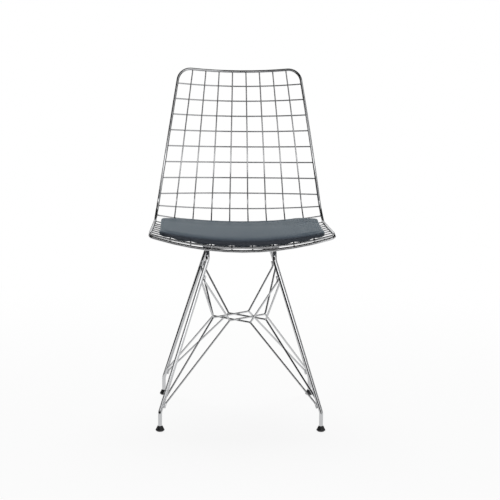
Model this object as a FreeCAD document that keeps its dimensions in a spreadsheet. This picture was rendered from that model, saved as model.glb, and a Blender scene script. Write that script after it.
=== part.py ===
import FreeCAD, Part
import math
import os

import Sketcher

from FreeCAD import Placement, Rotation, Vector

# A wire mesh chair: a dished seat and back of crossing wires inside a closed rim rod, a loose seat pad,
# and a base of two side frames tied together by bent brace wires that meet in a knot of eight corners.
# +X is the sitter's left to right as seen from the front, +Y runs towards the back, +Z is up.
# The origin lies on the floor under the middle of the base.

DIMENSIONS = [
    ("rim_diameter", 7.0, "rod round the edge of seat and back"),
    ("wire_diameter", 3.5, "mesh wires"),
    ("front_rod_diameter", 5.0, "cross rod just behind the front edge"),
    ("rod_gap", 0.05, "gap left between rods that cross or touch"),
    ("weld_gap", 0.2, "gap between a wire's end and the rod that it meets"),
    ("seat_height", 463.0, "middle of the mesh at the seat's centre line"),
    ("front_reach", 220.0, "front edge, ahead of the base's middle"),
    ("back_reach", 152.0, "upright part of the back, behind the base's middle"),
    ("bend_radius", 88.0, "bend between seat and back"),
    ("back_arc_radius", 900.0, "gentle arc of the back, leaning rearwards"),
    ("back_arc_length", 339.0, "length of that arc up to the top rim"),
    ("front_half_width", 225.0, "half width at the front edge"),
    ("bend_half_width", 221.0, "half width at the bend"),
    ("top_half_width", 159.0, "half width at the top rim"),
    ("front_dish", 32.0, "how far the sides rise over the middle, front edge"),
    ("bend_dish", 28.0, "the same at the bend"),
    ("top_dish", 25.0, "the same at the top rim"),
    ("front_drop_middle", 9.4, "front rim below the mesh, at the middle"),
    ("front_drop_side", 6.2, "front rim below the mesh, at the corners"),
    ("front_drop_run", 26.0, "length of side rim that slopes down to the corner"),
    ("front_rod_setback", 20.0, "front cross rod behind the front edge"),
    ("front_corner_radius", 12.0, "front corners of the rim"),
    ("top_corner_radius", 38.0, "top corners of the rim"),
    ("wire_drop_radius", 5.0, "bend of the long wires down to the front rim"),
    ("back_wire_count", 9, "cross wires of the back"),
    ("seat_wire_count", 8, "cross wires of the seat"),
    ("long_wire_count", 8, "wires that run from the top rim to the front"),
    ("leg_diameter", 10.0, "rods of the side frames"),
    ("mount_height", 23.0, "middle of the mesh above the axes of the frames' top rails"),
    ("rail_half_spacing", 84.0, "rails from the middle, sideways"),
    ("rail_half_length", 120.0, "rail ends from the middle, front and back"),
    ("rail_bend_radius", 14.0, "bend from leg to rail"),
    ("foot_half_width", 200.0, "feet from the middle, sideways"),
    ("foot_half_depth", 200.0, "feet from the middle, front and back"),
    ("leg_neck_length", 6.0, "upright part of a leg below the rail's bend"),
    ("leg_ankle_height", 48.0, "where a leg turns upright again"),
    ("leg_bend_radius", 25.0, "bends at knee and ankle"),
    ("brace_diameter", 4.7, "brace wires and struts"),
    ("upper_weld_drop", 70.0, "where the upper braces leave the legs, below the rails"),
    ("lower_weld_height", 72.0, "where the lower braces leave the legs, above the floor"),
    ("weld_length", 12.0, "length of brace that lies along the leg"),
    ("weld_bend_radius", 10.0, "bend where a brace leaves the leg"),
    ("knot_height", 253.0, "middle of the knot of braces"),
    ("knot_half_long", 68.0, "knot corners from the middle, long way"),
    ("knot_half_short", 26.0, "knot corners from the middle, short way"),
    ("knot_bend_radius", 12.0, "bends at the knot corners"),
    ("foot_height", 14.0, "feet"),
    ("foot_base_diameter", 16.0, "flat face that rests on the floor"),
    ("foot_wide_diameter", 23.0, "widest part of a foot"),
    ("foot_wide_height", 4.0, "height of that widest part"),
    ("foot_neck_diameter", 13.0, "top of a foot"),
    ("foot_edge_radius", 2.0, "rounding of its widest part"),
    ("foot_floor", 4.0, "foot under the leg's end"),
    ("foot_clearance", 0.1, "leg in its foot, all round"),
    ("strap_width", 25.0, "curved straps under the mesh"),
    ("strap_thickness", 3.0, "curved straps under the mesh"),
    ("strap_half_length", 80.0, "straps from the middle, sideways"),
    ("front_strap_reach", 98.0, "front strap, ahead of the base's middle"),
    ("rear_strap_reach", 66.0, "rear strap, behind the base's middle"),
    ("bar_width", 25.0, "cross bars on the rails"),
    ("bar_thickness", 4.0, "cross bars on the rails"),
    ("bar_end_margin", 12.0, "cross bar beyond the rail's axis"),
    ("bar_corner_radius", 6.0, "cross bar's rounded corners"),
    ("screw_half_spacing", 60.0, "mounting screws from the middle, sideways"),
    ("screw_diameter", 6.0, "mounting screws"),
    ("screw_end_gap", 2.0, "between a screw's end and its strap"),
    ("head_diameter", 10.5, "screw heads"),
    ("head_height", 4.0, "screw heads"),
    ("socket_width", 4.0, "hexagon socket in a screw head"),
    ("socket_depth", 2.2, "hexagon socket in a screw head"),
    ("screw_clearance", 0.3, "screw in its bar and washer, all round"),
    ("thread_clearance", 0.03, "screw in its boss, all round"),
    ("boss_diameter", 14.0, "threaded bosses under the straps"),
    ("washer_diameter", 20.0, "rubber washers between bars and bosses"),
    ("washer_thickness", 3.0, "rubber washers between bars and bosses"),
    ("pad_front_half_width", 203.5, "seat pad at its front edge"),
    ("pad_rear_half_width", 207.5, "seat pad at its rear edge"),
    ("pad_front", 3.0, "pad's front edge behind the front rim"),
    ("pad_rear_rise", 54.0, "how far the pad runs up the bend behind the flat seat"),
    ("pad_crown", 21.5, "pad's thickness at its middle"),
    ("pad_edge", 11.5, "pad's thickness at its sides"),
    ("pad_front_corner", 20.0, "pad's front corners in plan"),
    ("pad_rear_corner", 75.0, "pad's rear corners in plan"),
    ("pad_roll", 6.0, "rounding of the pad's front and rear edges"),
    ("pad_side_bulge", 4.5, "rounding of the pad's sides"),
    ("pad_draw_in", 1.0, "how far the sides pull in between the corners"),
    ("pad_clearance", 0.3, "pad above the wires"),
    ("cover_thickness", 1.0, "leatherette cover"),
    ("foam_gap", 0.2, "foam inside its cover"),
]

VOLUME_TOLERANCE = 0.005
FULL_TURN = 360
SIDES = {"left": -1, "right": 1}
ENDS = {"front": -1, "rear": 1}

document = FreeCAD.newDocument("WireMeshChair")
sheet = document.addObject("Spreadsheet::Sheet", "Sizes")
for row, (alias, value, note) in enumerate(DIMENSIONS, start=1):
    sheet.set(f"A{row}", alias)
    sheet.set(f"B{row}", str(value))
    sheet.set(f"C{row}", note)
    sheet.setAlias(f"B{row}", alias)
document.recompute()

subparts = []


def size(alias):
    """The value of one named cell, in millimetres."""
    return float(sheet.get(alias))


def value(formula):
    """The value of a formula on the sheet."""
    return float(sheet.evalExpression(formula))


def primitive(kind, name, **formulas):
    """A Part primitive whose sizes are bound to the sheet."""
    item = document.addObject(f"Part::{kind}", name)
    for size_name, formula in formulas.items():
        item.setExpression(size_name, formula)
    return item


def keep(item, node):
    """Name a finished sub-part after its node."""
    item.Label = node
    subparts.append(item)
    return item


def feature(node, shape):
    """A sub-part whose shape follows a path in space."""
    item = document.addObject("Part::Feature", f"{node}_shape")
    item.Shape = shape
    return keep(item, node)


def boolean(kind, name, base, tool):
    """A cut, fuse or common of two objects."""
    item = document.addObject(f"Part::{kind}", name)
    item.Base = base
    item.Tool = tool
    return item


def group(node, items):
    """Identical separate pieces under one node."""
    together = document.addObject("Part::Compound", f"{node}_group")
    together.Links = items
    return keep(together, node)


# Paths of rods


def turn_at(before, corner, after):
    """How far a path turns at one of its corners."""
    return math.pi - (before - corner).getAngle(after - corner)


def bend_reaches(points, radii):
    """What each bend takes from its two runs, cut back where two bends would meet."""
    turns = [turn_at(*corner) for corner in zip(points, points[1:], points[2:])]
    reaches = [0, *[radius * math.tan(turn / 2) for radius, turn in zip(radii, turns)], 0]
    for index, (start, end) in enumerate(zip(points, points[1:])):
        excess = reaches[index] + reaches[index + 1] - (end - start).Length + 2 * size("rod_gap")
        if excess > 0:
            larger = max(index, index + 1, key=lambda place: reaches[place])
            reaches[larger] -= excess
    return reaches[1:-1]


def bend(before, corner, after, reach):
    """Start, middle and end of the arc that rounds one corner of a path."""
    inward = (before - corner).normalize()
    outward = (after - corner).normalize()
    half_turn = turn_at(before, corner, after) / 2
    depth = reach * (1 / math.sin(half_turn) - 1 / math.tan(half_turn))
    middle = corner + (inward + outward).normalize() * depth
    return corner + inward * reach, middle, corner + outward * reach


def rounded_path(points, radii):
    """A wire of straight runs joined by tangent arcs."""
    edges = []
    start = points[0]
    corners = zip(points, points[1:], points[2:])
    for (before, corner, after), reach in zip(corners, bend_reaches(points, radii)):
        first, middle, last = bend(before, corner, after, reach)
        edges.append(Part.LineSegment(start, first).toShape())
        edges.append(Part.Arc(first, middle, last).toShape())
        start = last
    edges.append(Part.LineSegment(start, points[-1]).toShape())
    return Part.Wire(edges)


def rod(points, radii, diameter):
    """A round rod bent along a path."""
    path = rounded_path(points, radii)
    circle = Part.makeCircle(diameter / 2, points[0], points[1] - points[0])
    solid = path.makePipeShell([Part.Wire(circle)], True, False)
    if solid.Volume < 0:
        solid.reverse()
    expected = path.Length * math.pi * diameter**2 / 4
    if abs(solid.Volume - expected) > VOLUME_TOLERANCE * expected:
        raise ValueError(f"A rod holds {solid.Volume:.0f} cubic mm instead of {expected:.0f}")
    return solid


# The dished surface in the middle of the mesh

bend_length = size("bend_radius") * math.pi / 2
flat_length = size("front_reach") + size("back_reach") - size("bend_radius")
upright_start = flat_length + bend_length
mesh_length = upright_start + size("back_arc_length")
back_lean = size("back_arc_length") / size("back_arc_radius")
BACK_BENDS = 3


def profile(along):
    """Centre-line point and slope of the mesh, by length from the front edge."""
    radius = size("bend_radius")
    if along <= flat_length:
        return Vector(0, along - size("front_reach"), size("seat_height")), 0.0
    if along <= upright_start:
        slope = (along - flat_length) / radius
        back = size("back_reach") - radius * (1 - math.sin(slope))
        return Vector(0, back, size("seat_height") + radius * (1 - math.cos(slope))), slope
    arc = size("back_arc_radius")
    lean = (along - upright_start) / arc
    height = size("seat_height") + radius + arc * math.sin(lean)
    return Vector(0, size("back_reach") + arc * (1 - math.cos(lean)), height), math.pi / 2 - lean


def normal(slope):
    """Direction across the mesh, towards the sitter."""
    return Vector(0, -math.sin(slope), math.cos(slope))


def blend(along, front, at_bend, top):
    """A value that changes evenly along the seat, round the bend and up the back.

    The middle value holds where the straight runs of the rim would cross.
    """
    to_corner = size("bend_radius") - size("bend_dish")
    seat_run = flat_length + to_corner
    back_run = to_corner + size("back_arc_length")
    if along <= flat_length:
        return front + (at_bend - front) * along / seat_run
    if along >= upright_start:
        return at_bend + (top - at_bend) * (along - upright_start + to_corner) / back_run
    low = front + (at_bend - front) * flat_length / seat_run
    high = at_bend + (top - at_bend) * to_corner / back_run
    return low + (high - low) * (along - flat_length) / bend_length


def half_width(along):
    widths = [size(f"{place}_half_width") for place in ("front", "bend", "top")]
    return blend(along, *widths)


def dish(along):
    depths = [size(f"{place}_dish") for place in ("front", "bend", "top")]
    return blend(along, *depths)


def arc_radius(width, depth):
    """Radius of the arc with this half width and rise."""
    return (width * width + depth * depth) / (2 * depth)


def section(along):
    """Radius and half angle of the mesh's cross-section."""
    width = half_width(along)
    radius = arc_radius(width, dish(along))
    return radius, math.asin(width / radius)


def offset_point(base, direction, width, depth, share, layer):
    """Point at a share of the half width, a layer's height over the dished surface."""
    radius = arc_radius(width, depth)
    angle = share * math.asin(width / radius)
    rise = radius - (radius - layer) * math.cos(angle)
    return base + direction * rise + Vector((radius - layer) * math.sin(angle), 0, 0)


def mesh_point(along, share, layer):
    base, slope = profile(along)
    return offset_point(base, normal(slope), half_width(along), dish(along), share, layer)


def rise_of(along, share):
    """Height of the dished surface over its centre line."""
    radius, angle = section(along)
    return radius * (1 - math.cos(share * angle))


def bend_corner(share, layer):
    """Where the straight runs of seat and back would cross."""
    base = Vector(0, size("back_reach"), size("seat_height"))
    widths = size("bend_half_width"), size("bend_dish")
    return offset_point(base, Vector(0, -1, 1), *widths, share, layer)


def back_corners(share, layer):
    """Corners of the tangent lines round the back's gentle arc, from low to high."""
    arc = size("back_arc_radius")
    half_step = back_lean / (2 * BACK_BENDS)
    corners = []
    for step in range(BACK_BENDS):
        lean = (2 * step + 1) * half_step
        reach = arc / math.cos(half_step)
        centre = Vector(0, size("back_reach") + arc, size("seat_height") + size("bend_radius"))
        base = centre + Vector(0, -math.cos(lean), math.sin(lean)) * reach
        along = upright_start + arc * lean
        direction = normal(math.pi / 2 - lean)
        corners.append(offset_point(base, direction, half_width(along), dish(along), share, layer))
    return corners


def front_rim_radius():
    depth = size("front_dish") - size("front_drop_side") + size("front_drop_middle")
    return arc_radius(size("front_half_width"), depth)


def front_rim_point(across):
    """Axis of the rim's front edge at a distance from the middle."""
    radius = front_rim_radius()
    low = size("seat_height") - size("front_drop_middle")
    return Vector(across, -size("front_reach"), low + radius - math.sqrt(radius**2 - across**2))


def bend_radii(share):
    """Radii of the bends that follow the mesh, from the seat upwards."""
    low = size("bend_radius") - rise_of(flat_length + bend_length / 2, share)
    high = size("back_arc_radius") + rise_of(upright_start, share)
    return [low, *[high] * BACK_BENDS]


# Rim rod; the shares say how much of its top and front edges is one arc, the rest is straight

TOP_ARC_SHARE = 0.8
FRONT_ARC_SHARE = 0.92


def half_rim():
    """Right half of the rim, from the top's middle to the front's middle."""
    top_radius, top_angle = section(mesh_length)
    base = profile(mesh_length)[0]
    top_run = base + Vector(top_radius * math.tan(TOP_ARC_SHARE * top_angle / 2), 0, 0)
    front_radius = front_rim_radius()
    front_angle = math.asin(size("front_half_width") / front_radius)
    low = size("seat_height") - size("front_drop_middle")
    reach = front_radius * math.tan(FRONT_ARC_SHARE * front_angle / 2)
    front_run = Vector(reach, -size("front_reach"), low)
    bends = bend_radii(1)
    points = [base, top_run, mesh_point(mesh_length, 1, 0)]
    points += reversed(back_corners(1, 0))
    points += [bend_corner(1, 0), mesh_point(size("front_drop_run"), 1, 0)]
    points += [front_rim_point(size("front_half_width")), front_run, front_rim_point(0)]
    radii = [top_radius, size("top_corner_radius"), *reversed(bends)]
    radii += [size("front_drop_run"), size("front_corner_radius"), front_radius]
    return rod(points, radii, size("rim_diameter"))


right_rim = half_rim()
feature("rim", right_rim.fuse(right_rim.mirror(Vector(), Vector(1, 0, 0))))

# Mesh wires: the long wires lie on the sitter's side, the cross wires on the far side

layer_step = size("wire_diameter") / 2 + size("rod_gap")
wire_stop = size("rim_diameter") / 2 + size("weld_gap")
wire_radius = size("wire_diameter") / 2


def arc_placement(centre, up, half_angle):
    """Placement of a ring's sector that hangs under its centre, half on each side."""
    first = up * -math.cos(half_angle) + Vector(-math.sin(half_angle), 0, 0)
    second = up * -math.sin(half_angle) + Vector(math.cos(half_angle), 0, 0)
    return Placement(centre, Rotation(first, second, first.cross(second), "XYZ"))


def arc_rod(node, along, diameter_name, layer, rim_drop=0):
    """A rod across the mesh, bent to the section's arc, that ends against the rim."""
    radius, angle = section(along)
    base, slope = profile(along)
    angle -= (wire_stop + rim_drop * math.sin(angle)) / radius
    arc = primitive("Torus", f"{node}_arc", Radius2=f"Sizes.{diameter_name} / 2")
    arc.Radius1 = radius + layer
    arc.Angle3 = math.degrees(2 * angle)
    arc.Placement = arc_placement(base + normal(slope) * radius, normal(slope), angle)
    return keep(arc, node)


back_count = int(size("back_wire_count"))
seat_count = int(size("seat_wire_count"))
pitch = (mesh_length - size("front_rod_setback")) / (back_count + seat_count + 1)
wire_places = [mesh_length - pitch * (index + 1) for index in range(back_count + seat_count)]
for number, place in enumerate(wire_places[:back_count], start=1):
    arc_rod(f"back_cross_wire_{number}", place, "wire_diameter", layer_step)
for number, place in enumerate(wire_places[back_count:], start=1):
    arc_rod(f"seat_cross_wire_{number}", place, "wire_diameter", layer_step)
rod_layer = size("front_rod_diameter") / 2 + size("rod_gap")
rod_place = size("front_rod_setback")
rim_drop = max(0, size("front_drop_side") * (1 - rod_place / size("front_drop_run")))
arc_rod("front_cross_rod", rod_place, "front_rod_diameter", rod_layer, rim_drop)


def long_wire(share):
    """A wire from the top rim, down the back, along the seat and down to the front rim."""
    narrowing = (size("bend_half_width") - size("top_half_width")) / size("back_arc_length")
    tilt = abs(share) * narrowing
    top = mesh_point(mesh_length - wire_stop - wire_radius * tilt, share, layer_step)
    front = mesh_point(0, share, layer_step)
    slope = math.asin(abs(front.x) / front_rim_radius())
    rise = (size("rim_diameter") / 2 + wire_radius * math.sin(slope)) / math.cos(slope) + size("weld_gap")
    end = front_rim_point(front.x) + Vector(0, 0, rise)
    points = [top, *reversed(back_corners(share, layer_step)), bend_corner(share, layer_step), front, end]
    radii = [*reversed(bend_radii(share)), size("wire_drop_radius")]
    return rod(points, radii, size("wire_diameter"))


long_count = int(size("long_wire_count"))
for number in range(1, long_count + 1):
    share = (2 * number - long_count - 1) / (long_count + 1)
    feature(f"long_wire_{number}", long_wire(share))

# Side frames: front leg, top rail and rear leg in one bent rod

rail_height = size("seat_height") - size("mount_height")
rail_top = rail_height + size("leg_diameter") / 2 + size("rod_gap")


def leg_end(side, end):
    foot = Vector(side * size("foot_half_width"), end * size("foot_half_depth"), size("foot_floor"))
    return foot + Vector(0, 0, size("rod_gap"))


def leg_ankle(side, end):
    point = leg_end(side, end)
    return Vector(point.x, point.y, size("leg_ankle_height"))


def rail_end(side, end):
    return Vector(side * size("rail_half_spacing"), end * size("rail_half_length"), rail_height)


def leg_knee(side, end):
    point = rail_end(side, end)
    return point - Vector(0, 0, size("rail_bend_radius") + size("leg_neck_length"))


def side_frame(side):
    front = [place(side, ENDS["front"]) for place in (leg_end, leg_ankle, leg_knee, rail_end)]
    rear = [place(side, ENDS["rear"]) for place in (rail_end, leg_knee, leg_ankle, leg_end)]
    bends = [size("leg_bend_radius"), size("leg_bend_radius"), size("rail_bend_radius")]
    return rod(front + rear, bends + bends[::-1], size("leg_diameter"))


for side_name, side in SIDES.items():
    feature(f"{side_name}_side_frame", side_frame(side))

# Brace wires and struts

brace_radius = size("brace_diameter") / 2
brace_step = brace_radius + size("rod_gap") / 2


def weld_point(side, end, face, height):
    """Axis of a brace beside a leg: face is x or y, the inner side that it lies on."""
    knee = leg_knee(side, end)
    ankle = leg_ankle(side, end)
    along = (ankle - knee).normalize()
    point = knee + (ankle - knee) * ((knee.z - height) / (knee.z - ankle.z))
    inward = Vector(-side, 0, 0) if face == "x" else Vector(0, -end, 0)
    square = (inward - along * inward.dot(along)).normalize()
    return point + square * (size("leg_diameter") / 2 + brace_radius + size("rod_gap"))


def upper_weld(side, end, face):
    height = rail_height - size("upper_weld_drop")
    outer = weld_point(side, end, face, height + size("weld_length"))
    return [outer, weld_point(side, end, face, height)]


def lower_weld(side, end, face):
    height = size("lower_weld_height")
    outer = weld_point(side, end, face, height - size("weld_length"))
    return [outer, weld_point(side, end, face, height)]


def knot_corner(side, end, long_way, upper):
    """One of the eight corners of the knot."""
    reach = size("knot_half_long"), size("knot_half_short")
    across, deep = reach if long_way == "x" else reach[::-1]
    height = size("knot_height") + (brace_step if upper else -brace_step)
    return Vector(side * across, end * deep, height)


knot_bends = {}


def brace(node, start, first, last, finish):
    """A brace wire from one leg through two knot corners to the opposite leg."""
    points = [*start, first, last, *reversed(finish)]
    radii = [size("weld_bend_radius"), size("knot_bend_radius")]
    radii += radii[::-1]
    reaches = bend_reaches(points, radii)
    solid = rod(points, radii, size("brace_diameter"))
    knot_bends[tuple(first)] = solid, bend(start[1], first, last, reaches[1])[1]
    knot_bends[tuple(last)] = solid, bend(first, last, finish[1], reaches[2])[1]
    feature(node, solid)


def strut(node, weld, corner):
    """A short strut from a leg to the outside of a brace's bend, coped to fit it."""
    brace_solid, middle = knot_bends[tuple(corner)]
    away = (weld[1] - middle).normalize()
    end = middle + away * (brace_radius / 2)
    solid = rod([*weld, end], [size("weld_bend_radius")], size("brace_diameter"))
    feature(node, solid.cut(brace_solid))


LEFT, RIGHT = SIDES["left"], SIDES["right"]
FRONT, REAR = ENDS["front"], ENDS["rear"]

high_left = upper_weld(LEFT, FRONT, "y"), knot_corner(LEFT, FRONT, "x", True)
high_right = upper_weld(RIGHT, REAR, "y"), knot_corner(RIGHT, REAR, "x", True)
high_front = upper_weld(LEFT, FRONT, "x"), knot_corner(LEFT, FRONT, "y", True)
high_rear = upper_weld(RIGHT, REAR, "x"), knot_corner(RIGHT, REAR, "y", True)
low_rear = lower_weld(LEFT, REAR, "x"), knot_corner(LEFT, REAR, "y", False)
low_left = lower_weld(LEFT, REAR, "y"), knot_corner(LEFT, REAR, "x", False)
low_right = lower_weld(RIGHT, FRONT, "y"), knot_corner(RIGHT, FRONT, "x", False)
low_front = lower_weld(RIGHT, FRONT, "x"), knot_corner(RIGHT, FRONT, "y", False)

brace("upper_brace_left", *high_left, *reversed(high_rear))
brace("upper_brace_right", *high_front, *reversed(high_right))
brace("lower_brace_rear", *low_rear, *reversed(low_right))
brace("lower_brace_front", *low_left, *reversed(low_front))

strut("strut_1", upper_weld(LEFT, REAR, "x"), low_rear[1])
strut("strut_2", upper_weld(LEFT, REAR, "y"), low_left[1])
strut("strut_3", upper_weld(RIGHT, FRONT, "y"), low_right[1])
strut("strut_4", upper_weld(RIGHT, FRONT, "x"), low_front[1])
strut("strut_5", lower_weld(LEFT, FRONT, "y"), high_left[1])
strut("strut_6", lower_weld(LEFT, FRONT, "x"), high_front[1])
strut("strut_7", lower_weld(RIGHT, REAR, "x"), high_rear[1])
strut("strut_8", lower_weld(RIGHT, REAR, "y"), high_right[1])

# Turned, flat and grouped pieces


def origin_plane(body, role):
    """One of a body's own origin planes."""
    return next(item for item in body.Origin.OriginFeatures if item.Role == role)


def new_sketch(body, name, role):
    sketch = body.newObject("Sketcher::SketchObject", name)
    sketch.AttachmentSupport = [(origin_plane(body, role), "")]
    sketch.MapMode = "FlatFace"
    return sketch


def constrain(sketch, formula, *arguments):
    """A dimension in a sketch, bound to a formula on the sheet."""
    index = sketch.addConstraint(Sketcher.Constraint(*arguments, value(formula)))
    sketch.setExpression(f"Constraints[{index}]", formula)


def hold(sketch, edge, position, across, up):
    """Hold one point of an edge at a place from the sketch's origin."""
    constrain(sketch, across, "DistanceX", -1, 1, edge, position)
    constrain(sketch, up, "DistanceY", -1, 1, edge, position)


def outline(sketch, corners):
    """A closed outline of straight edges; a corner is a pair of formulas."""
    points = [Vector(value(across), value(up), 0) for across, up in corners]
    lines = [Part.LineSegment(*pair) for pair in zip(points, points[1:] + points[:1])]
    edges = [sketch.addGeometry(line, False) for line in lines]
    for edge, following in zip(edges, edges[1:] + edges[:1]):
        sketch.addConstraint(Sketcher.Constraint("Coincident", edge, 2, following, 1))
    for edge, (across, up) in zip(edges, corners):
        hold(sketch, edge, 1, across, up)


def round_hole(sketch, across, up, radius):
    circle = Part.Circle(Vector(value(across), value(up), 0), Vector(0, 0, 1), value(radius))
    edge = sketch.addGeometry(circle, False)
    hold(sketch, edge, 3, across, up)
    constrain(sketch, radius, "Radius", edge)


def turned(name, corners):
    """A body turned about its upright axis."""
    body = document.addObject("PartDesign::Body", name)
    sketch = new_sketch(body, f"{name}_profile", "XZ_Plane")
    outline(sketch, corners)
    solid = body.newObject("PartDesign::Revolution", f"{name}_turned")
    solid.Profile = sketch
    solid.ReferenceAxis = (sketch, ["V_Axis"])
    solid.Angle = FULL_TURN
    return body


def round_edges(body, radius_name, wanted):
    """Fillet the edges of a body that a test picks out."""
    document.recompute()
    base = body.Tip
    names = [f"Edge{index}" for index, edge in enumerate(base.Shape.Edges, start=1) if wanted(edge)]
    fillet = body.newObject("PartDesign::Fillet", f"{body.Name}_rounded")
    fillet.Base = (base, names)
    fillet.setExpression("Radius", f"Sizes.{radius_name}")


# Feet: a flared cap pushed onto each leg's end

FOOT_CORNERS = (
    ("0", "0"),
    ("Sizes.foot_base_diameter / 2", "0"),
    ("Sizes.foot_wide_diameter / 2", "Sizes.foot_wide_height"),
    ("Sizes.foot_neck_diameter / 2", "Sizes.foot_height"),
    ("Sizes.leg_diameter / 2 + Sizes.foot_clearance", "Sizes.foot_height"),
    ("Sizes.leg_diameter / 2 + Sizes.foot_clearance", "Sizes.foot_floor"),
    ("0", "Sizes.foot_floor"),
)


def is_widest(edge):
    return edge.BoundBox.XLength > size("foot_wide_diameter") - size("rod_gap")


for end_name, end in ENDS.items():
    for side_name, side in SIDES.items():
        foot = turned(f"{end_name}_{side_name}_foot", FOOT_CORNERS)
        round_edges(foot, "foot_edge_radius", is_widest)
        foot.Placement.Base = Vector(side * size("foot_half_width"), end * size("foot_half_depth"), 0)
        keep(foot, f"{end_name}_{side_name}_foot")

# Seat mounting, from the mesh down: straps, bosses, rubber washers, cross bars on the rails, screws


def strap_place(reach):
    """Middle of the gap between two cross wires that is nearest to a place on the base."""
    along = reach + size("front_reach")
    gaps = [(low + high) / 2 for high, low in zip(wire_places, wire_places[1:])]
    return min(gaps, key=lambda gap: abs(gap - along))


def cross_bar(node, deep):
    body = document.addObject("PartDesign::Body", node)
    sketch = new_sketch(body, f"{node}_outline", "XY_Plane")
    length = "Sizes.rail_half_spacing + Sizes.bar_end_margin"
    width = "Sizes.bar_width / 2"
    right = [(length, f"-{width}"), (length, width)]
    left = [(f"-({length})", width), (f"-({length})", f"-{width}")]
    outline(sketch, right + left)
    plate = body.newObject("PartDesign::Pad", f"{node}_plate")
    plate.Profile = sketch
    plate.setExpression("Length", "Sizes.bar_thickness")
    holes = new_sketch(body, f"{node}_hole_places", "XY_Plane")
    for side in SIDES.values():
        radius = "Sizes.screw_diameter / 2 + Sizes.screw_clearance"
        round_hole(holes, f"{side} * Sizes.screw_half_spacing", "0", radius)
    document.recompute()
    solid_volume = body.Shape.Volume
    pocket = body.newObject("PartDesign::Pocket", f"{node}_holes")
    pocket.Profile = holes
    pocket.Reversed = True
    pocket.Type = "ThroughAll"
    document.recompute()
    if body.Shape.Volume >= solid_volume:
        raise ValueError(f"The screw holes of {node} cut nothing")
    round_edges(body, "bar_corner_radius", is_upright_corner)
    body.Placement.Base = Vector(0, deep, rail_top)
    return keep(body, node)


def is_upright_corner(edge):
    """An upright edge at one of a bar's four corners."""
    reach = size("rail_half_spacing") + size("bar_end_margin")
    upright = abs(edge.BoundBox.ZLength - size("bar_thickness")) < size("rod_gap")
    return upright and abs(abs(edge.CenterOfMass.x) - reach) < size("rod_gap")


def arc_solid(name, deep, radius, half_angle):
    """A sector of a cylinder that lies along Y, as wide as a strap, with its middle at the bottom."""
    sector = primitive("Cylinder", name, Height="Sizes.strap_width")
    sector.Radius = radius
    sector.Angle = math.degrees(2 * half_angle)
    arc_centre = Vector(0, deep + size("strap_width") / 2, size("seat_height") + mesh_radius(deep))
    sector.Placement = arc_placement(arc_centre, Vector(0, 0, 1), half_angle)
    return sector


def mesh_radius(deep):
    """Radius of the mesh's cross-section over a place on the base."""
    return section(min(deep + size("front_reach"), flat_length))[0]


def strap_underside(deep, across):
    """Height of a strap's lower face at a distance from the middle."""
    radius = mesh_radius(deep)
    lower = radius + size("strap_thickness")
    return size("seat_height") + radius - math.sqrt(lower**2 - across**2)


def tube(name, outer, inner, height):
    """An upright tube with bound radii; its height is a number."""
    outside = primitive("Cylinder", f"{name}_outside", Radius=outer)
    inside = primitive("Cylinder", f"{name}_inside", Radius=inner)
    outside.Height = inside.Height = height
    return boolean("Cut", name, outside, inside)


SCREW_CORNERS = (
    ("0", "-Sizes.head_height"),
    ("Sizes.head_diameter / 2", "-Sizes.head_height"),
    ("Sizes.head_diameter / 2", "0"),
    ("Sizes.screw_diameter / 2", "0"),
)
SOCKET_SIDES = 6
SOCKET_REACH = "Sizes.socket_width / sqrt(3)"
SOCKET_CORNERS = []
for turn in range(0, FULL_TURN, FULL_TURN // SOCKET_SIDES):
    SOCKET_CORNERS.append((f"{SOCKET_REACH} * cos({turn} deg)", f"{SOCKET_REACH} * sin({turn} deg)"))


def mount_screw(name, length):
    """A screw with a round head and a hexagon socket, its head below the origin."""
    shank = [("Sizes.screw_diameter / 2", f"{length}"), ("0", f"{length}")]
    body = turned(name, [*SCREW_CORNERS, *shank])
    sketch = new_sketch(body, f"{name}_socket_outline", "XY_Plane")
    sketch.setExpression("AttachmentOffset.Base.z", "-Sizes.head_height")
    outline(sketch, SOCKET_CORNERS)
    document.recompute()
    solid_volume = body.Shape.Volume
    socket = body.newObject("PartDesign::Pocket", f"{name}_socket")
    socket.Profile = sketch
    socket.Reversed = True
    socket.setExpression("Length", "Sizes.socket_depth")
    document.recompute()
    if body.Shape.Volume >= solid_volume:
        raise ValueError(f"The socket of {name} cuts nothing")
    return body


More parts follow.
